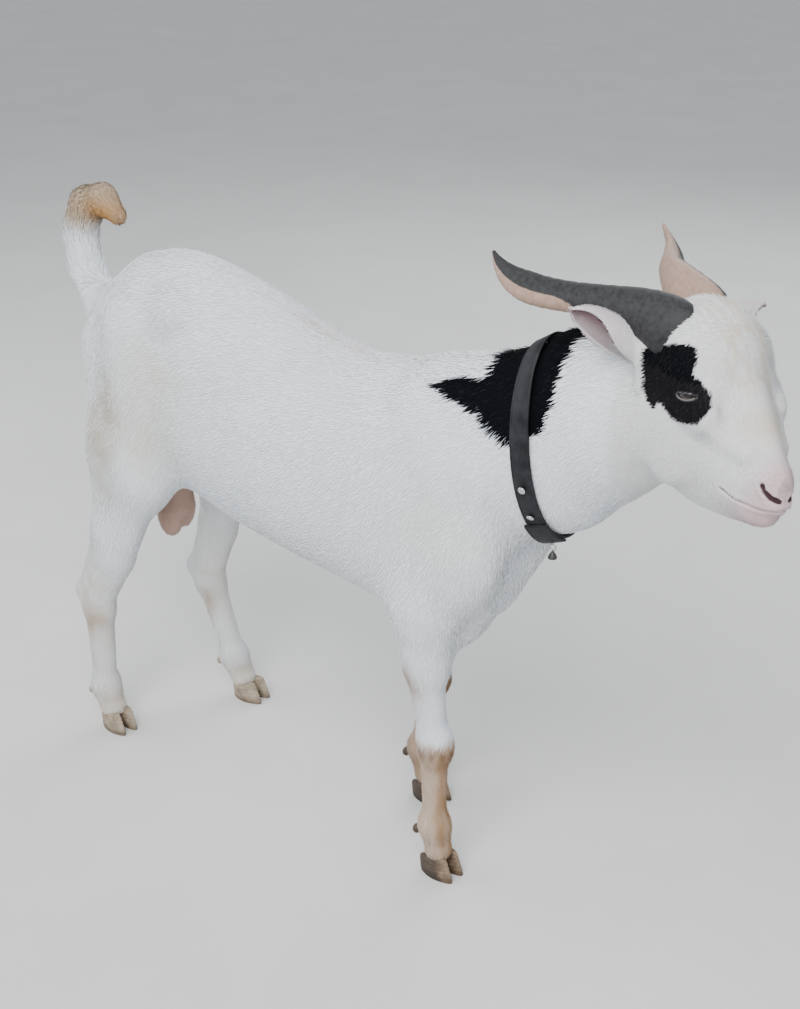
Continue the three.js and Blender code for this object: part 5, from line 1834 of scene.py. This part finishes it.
# ---------------------------------------------------- the animal
def dress():
    """Makes every piece, and says which solids each stands for."""
    upper = [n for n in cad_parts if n.endswith(("_forearm", "_thigh", "_cannon"))]
    flesh_nodes = ["trunk", "neck", "head", "tail", "scrotum", "ear_right", "ear_left"] + upper
    skin = skin_mesh()
    points = triangles_of(skin)[1]
    # The skin takes the markings three hundredths darker: painted shade under the tufts.
    per_vertex(skin, "coat", markings(points) * 0.97)
    show(skin, skin_paint(), flesh_nodes)
    grow_coat(skin, hair_paint())
    horn, eye = horn_paint(), eye_paint()
    fore_hoof = hoof_paint("hoof_fore", (0.035, 0.024, 0.016), (0.10, 0.068, 0.045), (0.24, 0.17, 0.11))
    hind_hoof = hoof_paint("hoof_hind", (0.26, 0.20, 0.14), (0.44, 0.36, 0.27), (0.40, 0.33, 0.25))
    for side in BOTH:
        name = SIDE_NAME[side]
        show(horn_mesh(side), horn, [f"horn_{name}"])
        show(eye_mesh(side), eye, [f"eye_{name}"])
    for foot, leg in LEGS.items():
        hoof = fore_hoof if "knee" in leg else hind_hoof
        for side in BOTH:
            label = "outer" if side == leg["side"] else "inner"
            claw, dewclaw = f"{foot}_claw_{label}", f"{foot}_dewclaw_{label}"
            show(claw_mesh(claw + "_horn", leg, side), hoof, [claw])
            show(dewclaw_mesh(dewclaw + "_horn", leg, side), hoof, [dewclaw])
    leather = leather_paint()
    steel = metal_paint("steel", (0.42, 0.42, 0.43), (0.62, 0.62, 0.62), 0.25, 0.45, 1.0)
    enamel = metal_paint("charm", (0.012, 0.012, 0.014), (0.045, 0.043, 0.042), 0.3, 0.55, 0.0)
    sizes = COLLAR["width"], COLLAR["clearance"], COLLAR["thick"]
    show(band_mesh("collar_strap_leather", 0, 360, BAND_STEPS, *sizes), leather, ["collar_strap"])
    sizes = COLLAR["width"] + 4, OVER_STRAP, COLLAR["thick"]
    lap = band_mesh("collar_lap_leather", *COLLAR["lap"], 24, *sizes)
    show(lap, leather, ["collar_lap"])
    for number, turn in enumerate(COLLAR["studs"], 1):
        show(stud_mesh(f"collar_stud_{number}_dome", turn), steel, [f"collar_stud_{number}"])
    ring, bell = charm_meshes()
    show(ring, steel, ["collar_ring"])
    show(bell, enamel, ["collar_bell"])


# ---------------------------------------------------- floor and light
def area_light(name, at, aim, size, power, colour):
    lamp = bpy.data.lights.new(name, "AREA")
    lamp.shape = "DISK"
    lamp.size = size
    lamp.energy = power
    lamp.color = colour
    piece = bpy.data.objects.new(name, lamp)
    piece.location = at
    piece.rotation_euler = (Vector(aim) - Vector(at)).to_track_quat("-Z", "Y").to_euler()
    bpy.context.scene.collection.objects.link(piece)


FLOOR_HALF = 24
# Each lamp: place, what it points at, size, power and colour.
LAMPS = {
    "key": ((0.9, -2.0, 2.6), (0, 0, 0.4), 2.4, 130, (1, 0.99, 0.98)),
    "fill": ((-2.4, -1.0, 1.6), (0, 0, 0.4), 2.6, 40, (0.94, 0.97, 1)),
    "back": ((-0.6, 2.6, 2.4), (0, 0, 0.5), 2.6, 55, (0.95, 0.98, 1)),
}


def stage():
    corners = [(x * FLOOR_HALF, y * FLOOR_HALF, 0) for x, y in ((-1, -1), (1, -1), (1, 1), (-1, 1))]
    mesh = bpy.data.meshes.new("floor")
    mesh.from_pydata(corners, [], [(0, 1, 2, 3)])
    mesh.materials.append(floor_paint())
    floor = bpy.data.objects.new("floor", mesh)
    bpy.context.scene.collection.objects.link(floor)
    for name, lamp in LAMPS.items():
        area_light(name, *lamp)
    world = bpy.data.worlds.new("world")
    bpy.context.scene.world = world
    world.use_nodes = True
    background = world.node_tree.nodes["Background"]
    background.inputs["Color"].default_value = (0.86, 0.89, 0.93, 1)
    background.inputs["Strength"].default_value = 0.8


dress()
stage()
